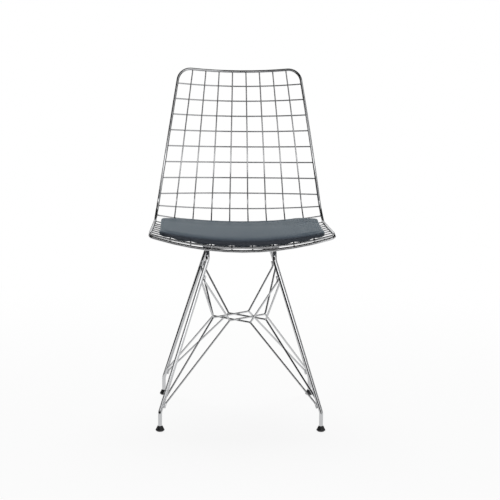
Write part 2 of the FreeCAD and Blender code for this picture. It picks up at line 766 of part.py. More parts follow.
gap = size("rod_gap")
bar_top = rail_top + size("bar_thickness")
boss_floor = bar_top + size("washer_thickness") + 2 * gap
bosses = []
washers = []
screws = []
for end_name, reach in (("front", -size("front_strap_reach")), ("rear", size("rear_strap_reach"))):
    deep = strap_place(reach) - size("front_reach")
    radius = mesh_radius(deep)
    lower_radius = radius + size("strap_thickness")
    half_angle = math.asin(size("strap_half_length") / radius)
    outer = arc_solid(f"{end_name}_strap_outer", deep, lower_radius, half_angle)
    inner = arc_solid(f"{end_name}_strap_inner", deep, radius, math.pi)
    keep(boolean("Cut", f"{end_name}_strap_cut", outer, inner), f"{end_name}_seat_strap")
    cross_bar(f"{end_name}_cross_bar", deep)
    low_side = strap_underside(deep, size("screw_half_spacing") - size("boss_diameter") / 2)
    screw_top = low_side - size("screw_end_gap")
    for side_name, side in SIDES.items():
        name = f"{end_name}_{side_name}"
        across = side * size("screw_half_spacing")
        boss_height = strap_underside(deep, size("screw_half_spacing") + size("boss_diameter")) - boss_floor
        bore = "Sizes.screw_diameter / 2 + Sizes.thread_clearance"
        boss = tube(f"{name}_boss_tube", "Sizes.boss_diameter / 2", bore, boss_height)
        boss.Placement.Base = Vector(across, deep, boss_floor)
        above = arc_solid(f"{name}_boss_trim", deep, lower_radius + gap, math.pi)
        bosses.append(boolean("Cut", f"{name}_boss", boss, above))
        hole = "Sizes.screw_diameter / 2 + Sizes.screw_clearance"
        washer = tube(f"{name}_washer", "Sizes.washer_diameter / 2", hole, size("washer_thickness"))
        washer.Placement.Base = Vector(across, deep, bar_top + gap)
        washers.append(washer)
        screw = mount_screw(f"{name}_screw", screw_top - rail_top + gap)
        screw.Placement.Base = Vector(across, deep, rail_top - gap)
        screws.append(screw)
group("strap_bosses", bosses)
group("rubber_washers", washers)
group("mount_screws", screws)

# Seat pad: a thin crowned pad that lies loose on the long wires

PAD_FRONT_TURNS = (10, 25, 45, 65, 90)
PAD_REAR_TURNS = (90, 75, 60, 46, 32, 20, 10)
PAD_MIDDLE_SHARES = (0.23, 0.46, 0.69, 0.82, 0.9, 0.95, 0.98, 1.0, 1.025)
PAD_STATION_GAP = 2.5
PAD_UNDERSIDE_ROLL = 0.05
PAD_BULGE_LIMIT = 0.35

pad_length = flat_length + size("pad_rear_rise") - size("pad_front")
pad_layer = layer_step + wire_radius + size("pad_clearance")


def pad_point(along, across, layer):
    """Point over the mesh by length, distance from the middle and height."""
    base, slope = profile(along)
    radius = section(along)[0]
    rise = radius - math.sqrt((radius - layer) ** 2 - across**2)
    return base + normal(slope) * rise + Vector(across, 0, 0)


def rolled(run, radius):
    """How much a rounded edge takes off at a distance from the end."""
    if run >= radius:
        return 0
    return radius - math.sqrt(radius**2 - (radius - run) ** 2)


def pad_section(run, inset):
    """Closed outline of the pad at a distance from its front end, with its skin taken off."""
    length = pad_length - 2 * inset
    along = size("pad_front") + inset + run
    flare = size("pad_rear_half_width") - size("pad_front_half_width")
    width = size("pad_front_half_width") - inset + flare * run / length
    width -= size("pad_draw_in") * math.sin(math.pi * run / length)
    width -= rolled(run, size("pad_front_corner") - inset)
    width -= rolled(length - run, size("pad_rear_corner") - inset)
    roll = rolled(min(run, length - run), size("pad_roll") - inset)
    low = pad_layer + inset + PAD_UNDERSIDE_ROLL * roll
    high_side = pad_layer + size("pad_edge") - inset - roll
    crown = (size("pad_crown") - size("pad_edge")) * math.sqrt(math.sin(math.pi * run / length))
    high_middle = high_side + crown
    bulge = min(size("pad_side_bulge") - inset / 2, PAD_BULGE_LIMIT * (high_side - low))
    inner = width - bulge
    middle = (low + high_side) / 2
    lower = [pad_point(along, across, low) for across in (-inner, 0, inner)]
    upper = [pad_point(along, across, high) for across, high in ((inner, high_side), (0, high_middle))]
    upper.append(pad_point(along, -inner, high_side))
    right = [lower[2], pad_point(along, width, middle), upper[0]]
    left = [upper[2], pad_point(along, -width, middle), lower[0]]
    return Part.Wire([Part.Arc(*points).toShape() for points in (lower, right, upper, left)])


def pad_stations(inset):
    """Places of the pad's sections: close together at its ends and where the seat starts to bend."""
    length = pad_length - 2 * inset
    to_bend = flat_length - size("pad_front") - inset
    front_corner = size("pad_front_corner") - inset
    rear_corner = size("pad_rear_corner") - inset
    ends = [front_corner * (1 - math.cos(math.radians(turn))) for turn in PAD_FRONT_TURNS]
    ends += [length - rear_corner * (1 - math.cos(math.radians(turn))) for turn in PAD_REAR_TURNS]
    middle = [to_bend * share for share in PAD_MIDDLE_SHARES]
    middle = [run for run in middle if min(abs(run - end) for end in ends) > PAD_STATION_GAP]
    return sorted(ends + middle)


def pad_solid(inset):
    """The pad's form with a skin of this thickness taken off all round."""
    return Part.makeLoft([pad_section(run, inset) for run in pad_stations(inset)], True)


cover = pad_solid(0)
feature("seat_pad_cover", cover.cut(pad_solid(size("cover_thickness"))))
feature("seat_pad_foam", pad_solid(size("cover_thickness") + size("foam_gap")))

# Checks and files

document.recompute()
failed = [item.Label for item in document.Objects if {"Invalid", "Error"} & set(item.State)]
failed += [item.Label for item in subparts if item.Shape.isNull() or not item.Shape.isValid()]
if failed:
    raise RuntimeError(f"These did not build: {failed}")
os.makedirs("parts", exist_ok=True)
for item in subparts:
    item.Shape.exportStep(f"parts/{item.Label}.step")
print(f"{len(subparts)} sub-parts written")
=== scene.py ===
import math

import bpy
from mathutils import Matrix, Vector


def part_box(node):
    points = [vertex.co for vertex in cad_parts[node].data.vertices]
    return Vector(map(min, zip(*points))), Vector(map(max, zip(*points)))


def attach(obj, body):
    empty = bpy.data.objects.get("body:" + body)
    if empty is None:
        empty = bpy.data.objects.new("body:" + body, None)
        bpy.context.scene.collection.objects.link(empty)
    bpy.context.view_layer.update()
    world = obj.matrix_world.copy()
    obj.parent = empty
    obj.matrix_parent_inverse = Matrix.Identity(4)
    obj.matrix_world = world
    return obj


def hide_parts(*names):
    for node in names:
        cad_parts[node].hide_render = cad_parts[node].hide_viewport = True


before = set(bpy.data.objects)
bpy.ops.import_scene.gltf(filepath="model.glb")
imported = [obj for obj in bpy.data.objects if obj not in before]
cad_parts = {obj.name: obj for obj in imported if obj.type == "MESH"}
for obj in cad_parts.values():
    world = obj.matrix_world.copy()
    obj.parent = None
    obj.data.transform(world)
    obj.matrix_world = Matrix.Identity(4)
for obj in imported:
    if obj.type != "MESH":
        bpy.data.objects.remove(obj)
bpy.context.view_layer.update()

bl_info = {
    "name": "Wire mesh chair",
    "version": (1, 0, 0),
    "blender": (4, 5, 0),
    "location": "3D View > Sidebar > Chair",
    "description": "A chromed wire mesh chair with a loose leatherette pad, modelled round its packed parts",
    "category": "Add Mesh",
}

MM = 0.001
FRAME_BODY = "chair_frame"
PAD_BODY = "seat_pad"
SIDES = {"left": -1, "right": 1}
ENDS = {"front": -1, "rear": 1}


# Properties


def length(name, description, default):
    return bpy.props.FloatProperty(
        name=name,
        description=description,
        default=default * MM,
        unit="LENGTH",
        subtype="DISTANCE",
        precision=5,
    )


def amount(name, description, default):
    return bpy.props.FloatProperty(name=name, description=description, default=default, min=0)


def count(name, description, default):
    return bpy.props.IntProperty(name=name, description=description, default=default, min=1)


def share(name, description, default):
    return bpy.props.FloatProperty(
        name=name, description=description, default=default, min=0, max=1, subtype="FACTOR"
    )


def colour(name, description, default):
    return bpy.props.FloatVectorProperty(
        name=name, description=description, default=default, size=3, min=0, max=1, subtype="COLOR"
    )


def angle(name, description, degrees):
    return bpy.props.FloatProperty(
        name=name, description=description, default=math.radians(degrees), subtype="ANGLE"
    )


class CHAIR_MeshSizes(bpy.types.PropertyGroup):
    """Sizes of the dished wire mesh and its rim."""

    rim_diameter: length("Rim rod", "Diameter of the rod round the edge", 7)
    wire_diameter: length("Mesh wire", "Diameter of the mesh wires", 3.5)
    front_rod_diameter: length("Front rod", "Diameter of the cross rod behind the front edge", 5)
    rod_gap: length("Rod gap", "Gap between rods that cross", 0.05)
    seat_height: length("Seat height", "Height of the mesh at the middle of the seat", 463)
    front_reach: length("Front reach", "Front edge, ahead of the base's middle", 220)
    back_reach: length("Back reach", "Upright part of the back, behind the base's middle", 152)
    bend_radius: length("Bend radius", "Bend between seat and back", 88)
    back_arc_radius: length("Back arc radius", "Gentle arc of the back", 900)
    back_arc_length: length("Back arc length", "Length of that arc", 339)
    front_half_width: length("Front half width", "Half width at the front edge", 225)
    bend_half_width: length("Bend half width", "Half width at the bend", 221)
    top_half_width: length("Top half width", "Half width at the top rim", 159)
    front_dish: length("Front dish", "Rise of the sides over the middle, front edge", 32)
    bend_dish: length("Bend dish", "Rise of the sides over the middle, bend", 28)
    top_dish: length("Top dish", "Rise of the sides over the middle, top rim", 25)
    front_drop_middle: length("Front drop, middle", "Front rim below the mesh, middle", 9.4)
    front_drop_side: length("Front drop, side", "Front rim below the mesh, corners", 6.2)
    front_drop_run: length("Front drop run", "Length of side rim that slopes to the corner", 26)
    front_rod_setback: length("Front rod setback", "Front cross rod behind the front edge", 20)
    front_corner_radius: length("Front corner", "Front corners of the rim", 12)
    top_corner_radius: length("Top corner", "Top corners of the rim", 38)
    wire_drop_radius: length("Wire drop bend", "Bend of the long wires to the front rim", 5)
    back_wire_count: count("Back wires", "Cross wires of the back", 9)
    seat_wire_count: count("Seat wires", "Cross wires of the seat", 8)
    long_wire_count: count("Long wires", "Wires from the top rim to the front", 8)


class CHAIR_BaseSizes(bpy.types.PropertyGroup):
    """Sizes of the side frames, their braces and the feet."""

    leg_diameter: length("Leg", "Diameter of the side frames", 10)
    mount_height: length("Mount height", "Mesh above the rails' axes", 23)
    rail_half_spacing: length("Rail spacing", "Rails from the middle, sideways", 84)
    rail_half_length: length("Rail length", "Rail ends from the middle", 120)
    rail_bend_radius: length("Rail bend", "Bend from leg to rail", 14)
    foot_half_width: length("Foot spread", "Feet from the middle, sideways", 200)
    foot_half_depth: length("Foot depth", "Feet from the middle, front and back", 200)
    leg_neck_length: length("Leg neck", "Upright part of a leg below the rail's bend", 6)
    leg_ankle_height: length("Ankle height", "Where a leg turns upright again", 48)
    leg_bend_radius: length("Leg bend", "Bends at knee and ankle", 25)
    brace_diameter: length("Brace", "Diameter of brace wires and struts", 4.7)
    upper_weld_drop: length("Upper weld drop", "Upper braces' welds below the rails", 70)
    lower_weld_height: length("Lower weld height", "Lower braces' welds above the floor", 72)
    weld_length: length("Weld length", "Length of brace along the leg", 12)
    weld_bend_radius: length("Weld bend", "Bend where a brace leaves the leg", 10)
    knot_height: length("Knot height", "Middle of the knot of braces", 253)
    knot_half_long: length("Knot, long way", "Knot corners from the middle, long way", 68)
    knot_half_short: length("Knot, short way", "Knot corners from the middle, short way", 26)
    knot_bend_radius: length("Knot bend", "Bends at the knot corners", 12)
    foot_floor: length("Foot floor", "Foot under the leg's end", 4)


class CHAIR_PadSizes(bpy.types.PropertyGroup):
    """How the loose pad is stuffed."""

    voxel: length("Remesh voxel", "Grid of the pad's cloth", 4)
    skin: length("Skin", "Cover over the foam", 0.95)
    swell: length("Swell", "Most that the cloth may move on top and sides", 1.7)
    settle: length("Settle", "Most that the cloth may move underneath", 0.1)
    sag: length("Sag", "How far the underside sinks between two long wires", 2.6)
    lip: length("Lip", "How far the front edge leans out over the front rod", 3)
    lip_run: length("Lip run", "Length of pad that leans out", 16)
    rear_fill: length("Rear fill", "Extra height of the top before the rear edge", 3.1)
    corner_lift: length("Corner lift", "How far the top stands up near the right rear corner", 2.6)
    pressure: amount("Pressure", "Air pressure in the cloth", 4)
    frames: count("Frames", "Steps of the cloth simulation", 20)
    fill: share("Fill", "From slack to tight", 0.7)


class CHAIR_Finishes(bpy.types.PropertyGroup):
    """Colours of the finishes."""

    chrome: colour("Chrome", "Polished chrome", (0.6, 0.605, 0.615))
    weld: colour("Weld", "Chromed weld beads", (0.5, 0.505, 0.515))
    plate: colour("Plate", "Satin plated straps and bars", (0.72, 0.725, 0.735))
    zinc: colour("Zinc", "Zinc plated screws", (0.5, 0.5, 0.48))
    rubber: colour("Rubber", "Rubber washers", (0.02, 0.02, 0.02))
    foot: colour("Foot plastic", "Moulded feet", (0.022, 0.022, 0.024))
    pad: colour("Leatherette", "Cover of the pad", (0.088, 0.106, 0.139))
    # Painted shade: the darker colour that the grain's hollows are mixed towards, standing in for the shade
    # there
    pad_hollow_shade: colour("Leatherette, deep", "Hollows of the cover's grain", (0.041, 0.05, 0.068))
    pad_sheen: colour("Leatherette, sheen", "Cool sheen of the cover seen along it", (0.62, 0.9, 1.0))
    floor: colour("Floor", "Seamless floor", (0.95, 0.95, 0.95))
    floor_bounce: colour("Floor bounce", "What the floor sends back up to the chair", (0.25, 0.25, 0.25))


class CHAIR_StageSettings(bpy.types.PropertyGroup):
    """Camera and light."""

    camera_distance: length("Camera distance", "From the chair's middle, on the floor", 3822)
    camera_height: length("Camera height", "Above the floor", 939.4)
    camera_side: angle("Camera side", "Way round the chair", -1.58)
    camera_aim: angle("Camera aim", "Turn from the chair's middle", -0.39)
    camera_pitch: angle("Camera pitch", "Downward tilt", 7.62)
    camera_roll: angle("Camera roll", "Turn of the picture", 0.54)
    lens: amount("Lens", "Focal length in mm", 107.56)
    floor_size: length("Floor size", "Side of the floor", 40000)
    top_light: amount("Top light", "Power of the softbox overhead, in watts", 68)
    front_light: amount("Front light", "Power of the softbox in front, in watts", 9)
    world: amount("World", "Strength of the plain white world on surfaces", 0.24)
    card_distance: length("Card distance", "Dark cards from the chair's middle", 4200)
    card_height: length("Card height", "Height of the dark ceiling over the cards", 3600)
    card_tone: share("Card tone", "How light the cards look in the chrome", 0.02)
    bright_floor: share("Bright floor", "How far the floor under the chair is lifted to white", 0.9)


# Small helpers for modelling by operators


def deselect_all():
    if bpy.context.object and bpy.context.object.mode != "OBJECT":
        bpy.ops.object.mode_set(mode="OBJECT")
    bpy.ops.object.select_all(action="DESELECT")


def pick(*objects):
    """Make these the selection, the first one active."""
    deselect_all()
    for item in objects:
        item.select_set(True)
    bpy.context.view_layer.objects.active = objects[0]
    return objects[0]


def named(name):
    """The active object, renamed with its mesh, its place in its mesh."""
    item = bpy.context.object
    bpy.ops.object.transform_apply(location=True, rotation=True, scale=True)
    item.name = name
    item.data.name = name
    return item


def smooth(item, degrees=40):
    pick(item)
    bpy.ops.object.shade_smooth_by_angle(angle=math.radians(degrees))


def dress(item, material, slot, body, *nodes):
    """Give a finished piece its material and body, and let it stand for CAD nodes; the slot is not used."""
    item.data.materials.clear()
    item.data.materials.append(material)
    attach(item, body)
    if nodes:
        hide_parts(*nodes)
    return item


def chromed(item, node):
    """Dress a rod in chrome, in place of its CAD node."""
    return dress(item, MATERIALS["chrome"], "chromed_steel", FRAME_BODY, node)


def joined(name, pieces):
    pick(*pieces)
    bpy.ops.object.join()
    return named(name)


# Paths of rods: straight runs joined by tangent arcs


def turn_at(before, corner, after):
    return math.pi - (before - corner).angle(after - corner)


def bend_reaches(points, radii, gap):
    """What each bend takes from its two runs, cut back where two bends would meet."""
    turns = [turn_at(*corner) for corner in zip(points, points[1:], points[2:])]
    reaches = [0, *[radius * math.tan(turn / 2) for radius, turn in zip(radii, turns)], 0]
    for index, (start, end) in enumerate(zip(points, points[1:])):
        excess = reaches[index] + reaches[index + 1] - (end - start).length + 2 * gap
        if excess > 0:
            larger = max(index, index + 1, key=lambda place: reaches[place])
            reaches[larger] -= excess
    return reaches[1:-1]


def arc_points(before, corner, after, reach, step):
    """Points along the arc that rounds one corner of a path."""
    inward = (before - corner).normalized()
    outward = (after - corner).normalized()
    turn = turn_at(before, corner, after)
    radius = reach / math.tan(turn / 2)
    centre = corner + (inward + outward).normalized() * (radius / math.cos(turn / 2))
    first = corner + inward * reach - centre
    axis = first.cross(corner + outward * reach - centre).normalized()
    steps = max(2, math.ceil(turn / step))
    return [centre + Matrix.Rotation(turn * index / steps, 3, axis) @ first for index in range(steps + 1)]


def arc_middle(before, corner, after, reach):
    turn = turn_at(before, corner, after)
    depth = reach * (1 / math.sin(turn / 2) - 1 / math.tan(turn / 2))
    away = (before - corner).normalized() + (after - corner).normalized()
    return corner + away.normalized() * depth


def rounded(points, radii, gap, step=math.radians(6)):
    """A path of straight runs joined by tangent arcs, as points."""
    path = [points[0]]
    corners = zip(points, points[1:], points[2:])
    for (before, corner, after), reach in zip(corners, bend_reaches(points, radii, gap)):
        path += arc_points(before, corner, after, reach, step)
    path.append(points[-1])
    return path


def rod(name, path, diameter, roundness=4, closed=False):
    """A round rod along a path, made as a bevelled curve and turned into a mesh."""
    deselect_all()
    bpy.ops.curve.primitive_nurbs_path_add(location=(0, 0, 0))
    curve = bpy.context.object.data
    curve.splines.clear()
    spline = curve.splines.new("POLY")
    spline.points.add(len(path) - 1)
    for point, place in zip(spline.points, path):
        point.co = (*place, 1)
    spline.use_cyclic_u = closed
    curve.bevel_depth = diameter / 2
    curve.bevel_resolution = roundness
    curve.use_fill_caps = not closed
    bpy.ops.object.convert(target="MESH")
    item = named(name)
    pick(item)
    bpy.ops.object.mode_set(mode="EDIT")
    bpy.ops.mesh.select_all(action="SELECT")
    bpy.ops.mesh.remove_doubles(threshold=0.01 * MM)
    bpy.ops.mesh.normals_make_consistent(inside=False)
    bpy.ops.object.mode_set(mode="OBJECT")
    smooth(item)
    return item


# The dished surface in the middle of the mesh


class DishedSurface:
    """Places on the mesh, by length from the front edge and share of the half width."""

    def __init__(self, sizes):
        self.sizes = sizes
        self.bend_length = sizes.bend_radius * math.pi / 2
        self.flat_length = sizes.front_reach + sizes.back_reach - sizes.bend_radius
        self.upright_start = self.flat_length + self.bend_length
        self.length = self.upright_start + sizes.back_arc_length
        self.lean = sizes.back_arc_length / sizes.back_arc_radius

    def profile(self, along):
        """Centre-line point and slope."""
        sizes = self.sizes
        radius = sizes.bend_radius
        if along <= self.flat_length:
            return Vector((0, along - sizes.front_reach, sizes.seat_height)), 0.0
        if along <= self.upright_start:
            slope = (along - self.flat_length) / radius
            back = sizes.back_reach - radius * (1 - math.sin(slope))
            return Vector((0, back, sizes.seat_height + radius * (1 - math.cos(slope)))), slope
        lean = (along - self.upright_start) / sizes.back_arc_radius
        back = sizes.back_reach + sizes.back_arc_radius * (1 - math.cos(lean))
        height = sizes.seat_height + radius + sizes.back_arc_radius * math.sin(lean)
        return Vector((0, back, height)), math.pi / 2 - lean

    def blend(self, along, front, at_bend, top):
        to_corner = self.sizes.bend_radius - self.sizes.bend_dish
        seat_run = self.flat_length + to_corner
        back_run = to_corner + self.sizes.back_arc_length
        if along <= self.flat_length:
            return front + (at_bend - front) * along / seat_run
        if along >= self.upright_start:
            return at_bend + (top - at_bend) * (along - self.upright_start + to_corner) / back_run
        low = front + (at_bend - front) * self.flat_length / seat_run
        high = at_bend + (top - at_bend) * to_corner / back_run
        return low + (high - low) * (along - self.flat_length) / self.bend_length

    def half_width(self, along):
        sizes = self.sizes
        return self.blend(along, sizes.front_half_width, sizes.bend_half_width, sizes.top_half_width)

    def dish(self, along):
        return self.blend(along, self.sizes.front_dish, self.sizes.bend_dish, self.sizes.top_dish)

    def section(self, along):
        """Radius and half angle of the cross-section."""
        width = self.half_width(along)
        radius = arc_radius(width, self.dish(along))
        return radius, math.asin(width / radius)

    def point(self, along, part, layer):
        base, slope = self.profile(along)
        return offset_point(base, normal(slope), self.half_width(along), self.dish(along), part, layer)

    def upward(self, along, part):
        """The way out of the dished surface, towards the sitter."""
        slope = self.profile(along)[1]
        turn = part * self.section(along)[1]
        return normal(slope) * math.cos(turn) - Vector((math.sin(turn), 0, 0))

    def rise(self, along, part):
        radius, half_angle = self.section(along)
        return radius * (1 - math.cos(part * half_angle))

    def bend_corner(self, part, layer):
        base = Vector((0, self.sizes.back_reach, self.sizes.seat_height))
        widths = self.sizes.bend_half_width, self.sizes.bend_dish
        return offset_point(base, Vector((0, -1, 1)), *widths, part, layer)

    def back_corners(self, part, layer, steps=3):
        """Corners of the tangent lines round the back's arc, from low to high."""
        sizes = self.sizes
        half_step = self.lean / (2 * steps)
        corners = []
        for step in range(steps):
            lean = (2 * step + 1) * half_step
            reach = sizes.back_arc_radius / math.cos(half_step)
            height = sizes.seat_height + sizes.bend_radius
            centre = Vector((0, sizes.back_reach + sizes.back_arc_radius, height))
            base = centre + Vector((0, -math.cos(lean), math.sin(lean))) * reach
            along = self.upright_start + sizes.back_arc_radius * lean
            place = self.half_width(along), self.dish(along), part, layer
            corners.append(offset_point(base, normal(math.pi / 2 - lean), *place))
        return corners

    def bend_radii(self, part):
        low = self.sizes.bend_radius - self.rise(self.flat_length + self.bend_length / 2, part)
        high = self.sizes.back_arc_radius + self.rise(self.upright_start, part)
        return [low, high, high, high]

    def front_rim_radius(self):
        sizes = self.sizes
        depth = sizes.front_dish - sizes.front_drop_side + sizes.front_drop_middle
        return arc_radius(sizes.front_half_width, depth)

    def front_rim_point(self, across):
        radius = self.front_rim_radius()
        low = self.sizes.seat_height - self.sizes.front_drop_middle
        return Vector((across, -self.sizes.front_reach, low + radius - math.sqrt(radius**2 - across**2)))

    def cross_wire_places(self):
        """Lengths along the mesh of the cross wires, from the top rim down."""
        total = self.sizes.back_wire_count + self.sizes.seat_wire_count
        pitch = (self.length - self.sizes.front_rod_setback) / (total + 1)
        return [self.length - pitch * (index + 1) for index in range(total)]

    def long_wire_shares(self):
        total = self.sizes.long_wire_count
        return [(2 * number - total - 1) / (total + 1) for number in range(1, total + 1)]


def arc_radius(width, depth):
    return (width * width + depth * depth) / (2 * depth)


def normal(slope):
    return Vector((0, -math.sin(slope), math.cos(slope)))


def offset_point(base, direction, width, depth, part, layer):
    """Point at a share of the half width, a layer's height over the dished surface."""
    radius = arc_radius(width, depth)
    turn = part * math.asin(width / radius)
    rise = radius - (radius - layer) * math.cos(turn)
    return base + direction * rise + Vector(((radius - layer) * math.sin(turn), 0, 0))


# Shared shader groups


def new_group(name, inputs, outputs):
    """An empty shader group; sockets are (name, type, default)."""
    group = bpy.data.node_groups.new(name, "ShaderNodeTree")
    for socket_name, kind, default in inputs:
        socket = group.interface.new_socket(name=socket_name, in_out="INPUT", socket_type=kind)
        if default is not None:
            socket.default_value = default
    for socket_name, kind in outputs:
        group.interface.new_socket(name=socket_name, in_out="OUTPUT", socket_type=kind)
    return group, group.nodes.new("NodeGroupInput"), group.nodes.new("NodeGroupOutput")


def add_node(tree, kind, settings=None, **links):
    """A node with its settings; each link is a value or a socket, named after an input."""
    node = tree.nodes.new(kind)
    for key, setting in (settings or {}).items():
        setattr(node, key, setting)
    for key, source in links.items():
        connect(tree, source, node.inputs[key.replace("_", " ").title()])
    return node


def connect(tree, source, socket):
    if isinstance(source, bpy.types.NodeSocket):
        tree.links.new(source, socket)
    else:
        socket.default_value = source


def math_node(tree, operation, first, second):
    node = tree.nodes.new("ShaderNodeMath")
    node.operation = operation
    connect(tree, first, node.inputs[0])
    connect(tree, second, node.inputs[1])
    return node.outputs[0]


def spread(tree, value, low, high):
    """Map a value from 0..1 to low..high."""
    node = tree.nodes.new("ShaderNodeMapRange")
    connect(tree, value, node.inputs["Value"])
    connect(tree, low, node.inputs["To Min"])
    connect(tree, high, node.inputs["To Max"])
    return node.outputs["Result"]


# Share of the fine specks in the patina; the clouds make up the rest
SPECK_SHARE = 0.35


def noise(tree, vector, scale, detail, roughness=0.5):
    """Plain noise between 0 and 1, as a value and as a colour."""
    links = {"vector": vector, "scale": scale, "detail": detail, "roughness": roughness}
    return add_node(tree, "ShaderNodeTexNoise", **links).outputs


def patina_group():
    """Cloudy change of tone and gloss, with fine specks, for every hard finish."""
    inputs = (
        ("Vector", "NodeSocketVector", None),
        ("Cloud Scale", "NodeSocketFloat", 9.0),
        ("Speck Scale", "NodeSocketFloat", 700.0),
        ("Low", "NodeSocketFloat", 0.06),
        ("High", "NodeSocketFloat", 0.14),
    )
    outputs = (("Roughness", "NodeSocketFloat"), ("Tone", "NodeSocketFloat"), ("Height", "NodeSocketFloat"))
    tree, given, result = new_group("Patina", inputs, outputs)
    sockets = given.outputs
    cloud = noise(tree, sockets["Vector"], sockets["Cloud Scale"], detail=4.0, roughness=0.6)["Fac"]
    speck = noise(tree, sockets["Vector"], sockets["Speck Scale"], detail=2.0)["Fac"]
    mixed = math_node(tree, "MULTIPLY_ADD", speck, SPECK_SHARE)
    tree.links.new(math_node(tree, "MULTIPLY", cloud, 1 - SPECK_SHARE), mixed.node.inputs[2])
    rough = spread(tree, mixed, sockets["Low"], sockets["High"])
    tree.links.new(rough, result.inputs["Roughness"])
    tree.links.new(mixed, result.inputs["Tone"])
    tree.links.new(speck, result.inputs["Height"])
    return tree


# Noise that bends the pebbles out of line: its scale and how far it moves them, in metres
WARP_SCALE = 260.0
WARP_REACH = 0.0016
# How steeply a pebble rises from its edge
PEBBLE_RISE = 2.2


def grain_group():
    """Pebbled grain with fine pores, for the cover and the moulded feet."""
    inputs = (
        ("Vector", "NodeSocketVector", None),
        ("Pebble Scale", "NodeSocketFloat", 620.0),
        ("Fold Scale", "NodeSocketFloat", 26.0),
        ("Fold Share", "NodeSocketFloat", 0.35),
    )
    outputs = (("Height", "NodeSocketFloat"), ("Hollow", "NodeSocketFloat"))
    tree, given, result = new_group("Pebbled grain", inputs, outputs)
    sockets = given.outputs
    warp = noise(tree, sockets["Vector"], WARP_SCALE, detail=2.0)["Color"]
    shifted = tree.nodes.new("ShaderNodeVectorMath")
    shifted.operation = "MULTIPLY_ADD"
    tree.links.new(warp, shifted.inputs[0])
    shifted.inputs[1].default_value = (WARP_REACH,) * 3
    tree.links.new(sockets["Vector"], shifted.inputs[2])
    pebbles = add_node(
        tree,
        "ShaderNodeTexVoronoi",
        {"feature": "DISTANCE_TO_EDGE"},
        vector=shifted.outputs[0],
        scale=sockets["Pebble Scale"],
    )
    slopes = math_node(tree, "MULTIPLY", pebbles.outputs["Distance"], PEBBLE_RISE)
    domes = math_node(tree, "POWER", slopes, 0.5)
    folds = noise(tree, sockets["Vector"], sockets["Fold Scale"], detail=6.0, roughness=0.62)["Fac"]
    height = math_node(tree, "MULTIPLY_ADD", folds, sockets["Fold Share"])
    tree.links.new(domes, height.node.inputs[2])
    tree.links.new(height, result.inputs["Height"])
    # The low ground between the pebbles, where the cover gets painted shade
    hollow_shade = math_node(tree, "SUBTRACT", 1.0, domes)
    tree.links.new(hollow_shade, result.inputs["Hollow"])
    return tree


# Materials


def new_material(name):
    """A material with its tree, its shader and object coordinates."""
    material = bpy.data.materials.new(name)
    material.use_nodes = True
    tree = material.node_tree
    shader = tree.nodes["Principled BSDF"]
    place = tree.nodes.new("ShaderNodeTexCoord").outputs["Object"]
    return material, tree, shader, place


def use_group(tree, group, vector, **values):
    node = tree.nodes.new("ShaderNodeGroup")
    node.node_tree = group
    tree.links.new(vector, node.inputs["Vector"])
    for key, setting in values.items():
        node.inputs[key.replace("_", " ").title()].default_value = setting
    return node.outputs


def bump(tree, shader, height, strength, distance):
    node = tree.nodes.new("ShaderNodeBump")
    node.inputs["Strength"].default_value = strength
    node.inputs["Distance"].default_value = distance
    tree.links.new(height, node.inputs["Height"])
    tree.links.new(node.outputs["Normal"], shader.inputs["Normal"])


def tinted(tree, factor, first, second):
    """A colour between two, by a factor that changes over the surface."""
    node = tree.nodes.new("ShaderNodeMix")
    node.data_type = "RGBA"
    tree.links.new(factor, node.inputs["Factor"])
    node.inputs[6].default_value = (*first, 1)
    node.inputs[7].default_value = (*second, 1)
    return node.outputs[2]


def scaled(tone, factor):
    """A colour made lighter or darker."""
    return tuple(min(1, channel * factor) for channel in tone)


def metal(name, base, low, high, kept, group):
    """Plated metal with a cloudy polish and fine specks."""
    material, tree, shader, place = new_material(name)
    marks = use_group(tree, group, place, low=low, high=high)
    tree.links.new(tinted(tree, marks["Tone"], scaled(base, kept), base), shader.inputs["Base Color"])
    tree.links.new(marks["Roughness"], shader.inputs["Roughness"])
    shader.inputs["Metallic"].default_value = 1.0
    bump(tree, shader, marks["Height"], strength=0.015, distance=0.1 * MM)
    return material


def moulded(name, base, low, high, pebble_scale, groups):
    """Moulded plastic or rubber with a fine spark-eroded texture."""
    material, tree, shader, place = new_material(name)
    marks = use_group(tree, groups["patina"], place, low=low, high=high)
    grain = use_group(tree, groups["grain"], place, pebble_scale=pebble_scale, fold_share=0.1)
    tree.links.new(tinted(tree, marks["Tone"], base, scaled(base, 1.9)), shader.inputs["Base Color"])
    tree.links.new(marks["Roughness"], shader.inputs["Roughness"])
    bump(tree, shader, grain["Height"], strength=0.25, distance=0.15 * MM)
    return material


def leatherette(finishes, groups):
    """Slate grey leatherette: pebbled grain, painted shade in the grain's hollows, a cool soft sheen."""
    material, tree, shader, place = new_material("leatherette")
    grain = use_group(tree, groups["grain"], place, pebble_scale=560.0, fold_scale=24.0, fold_share=0.4)
    marks = use_group(tree, groups["patina"], place, cloud_scale=7.0, speck_scale=420.0, low=0.38, high=0.55)
    toned = tinted(tree, marks["Tone"], scaled(finishes.pad, 0.86), finishes.pad)
    mix = tree.nodes.new("ShaderNodeMix")
    mix.data_type = "RGBA"
    # Painted shade: the grain's hollows are darkened towards the shade colour
    tree.links.new(math_node(tree, "MULTIPLY", grain["Hollow"], 0.7), mix.inputs["Factor"])
    tree.links.new(toned, mix.inputs[6])
    mix.inputs[7].default_value = (*finishes.pad_hollow_shade, 1)
    tree.links.new(mix.outputs[2], shader.inputs["Base Color"])
    tree.links.new(marks["Roughness"], shader.inputs["Roughness"])
    shader.inputs["Specular IOR Level"].default_value = 0.45
    shader.inputs["Sheen Weight"].default_value = 0.28
    shader.inputs["Sheen Tint"].default_value = (*finishes.pad_sheen, 1)
    shader.inputs["Sheen Roughness"].default_value = 0.5
    bump(tree, shader, grain["Height"], strength=0.35, distance=0.25 * MM)
    return material


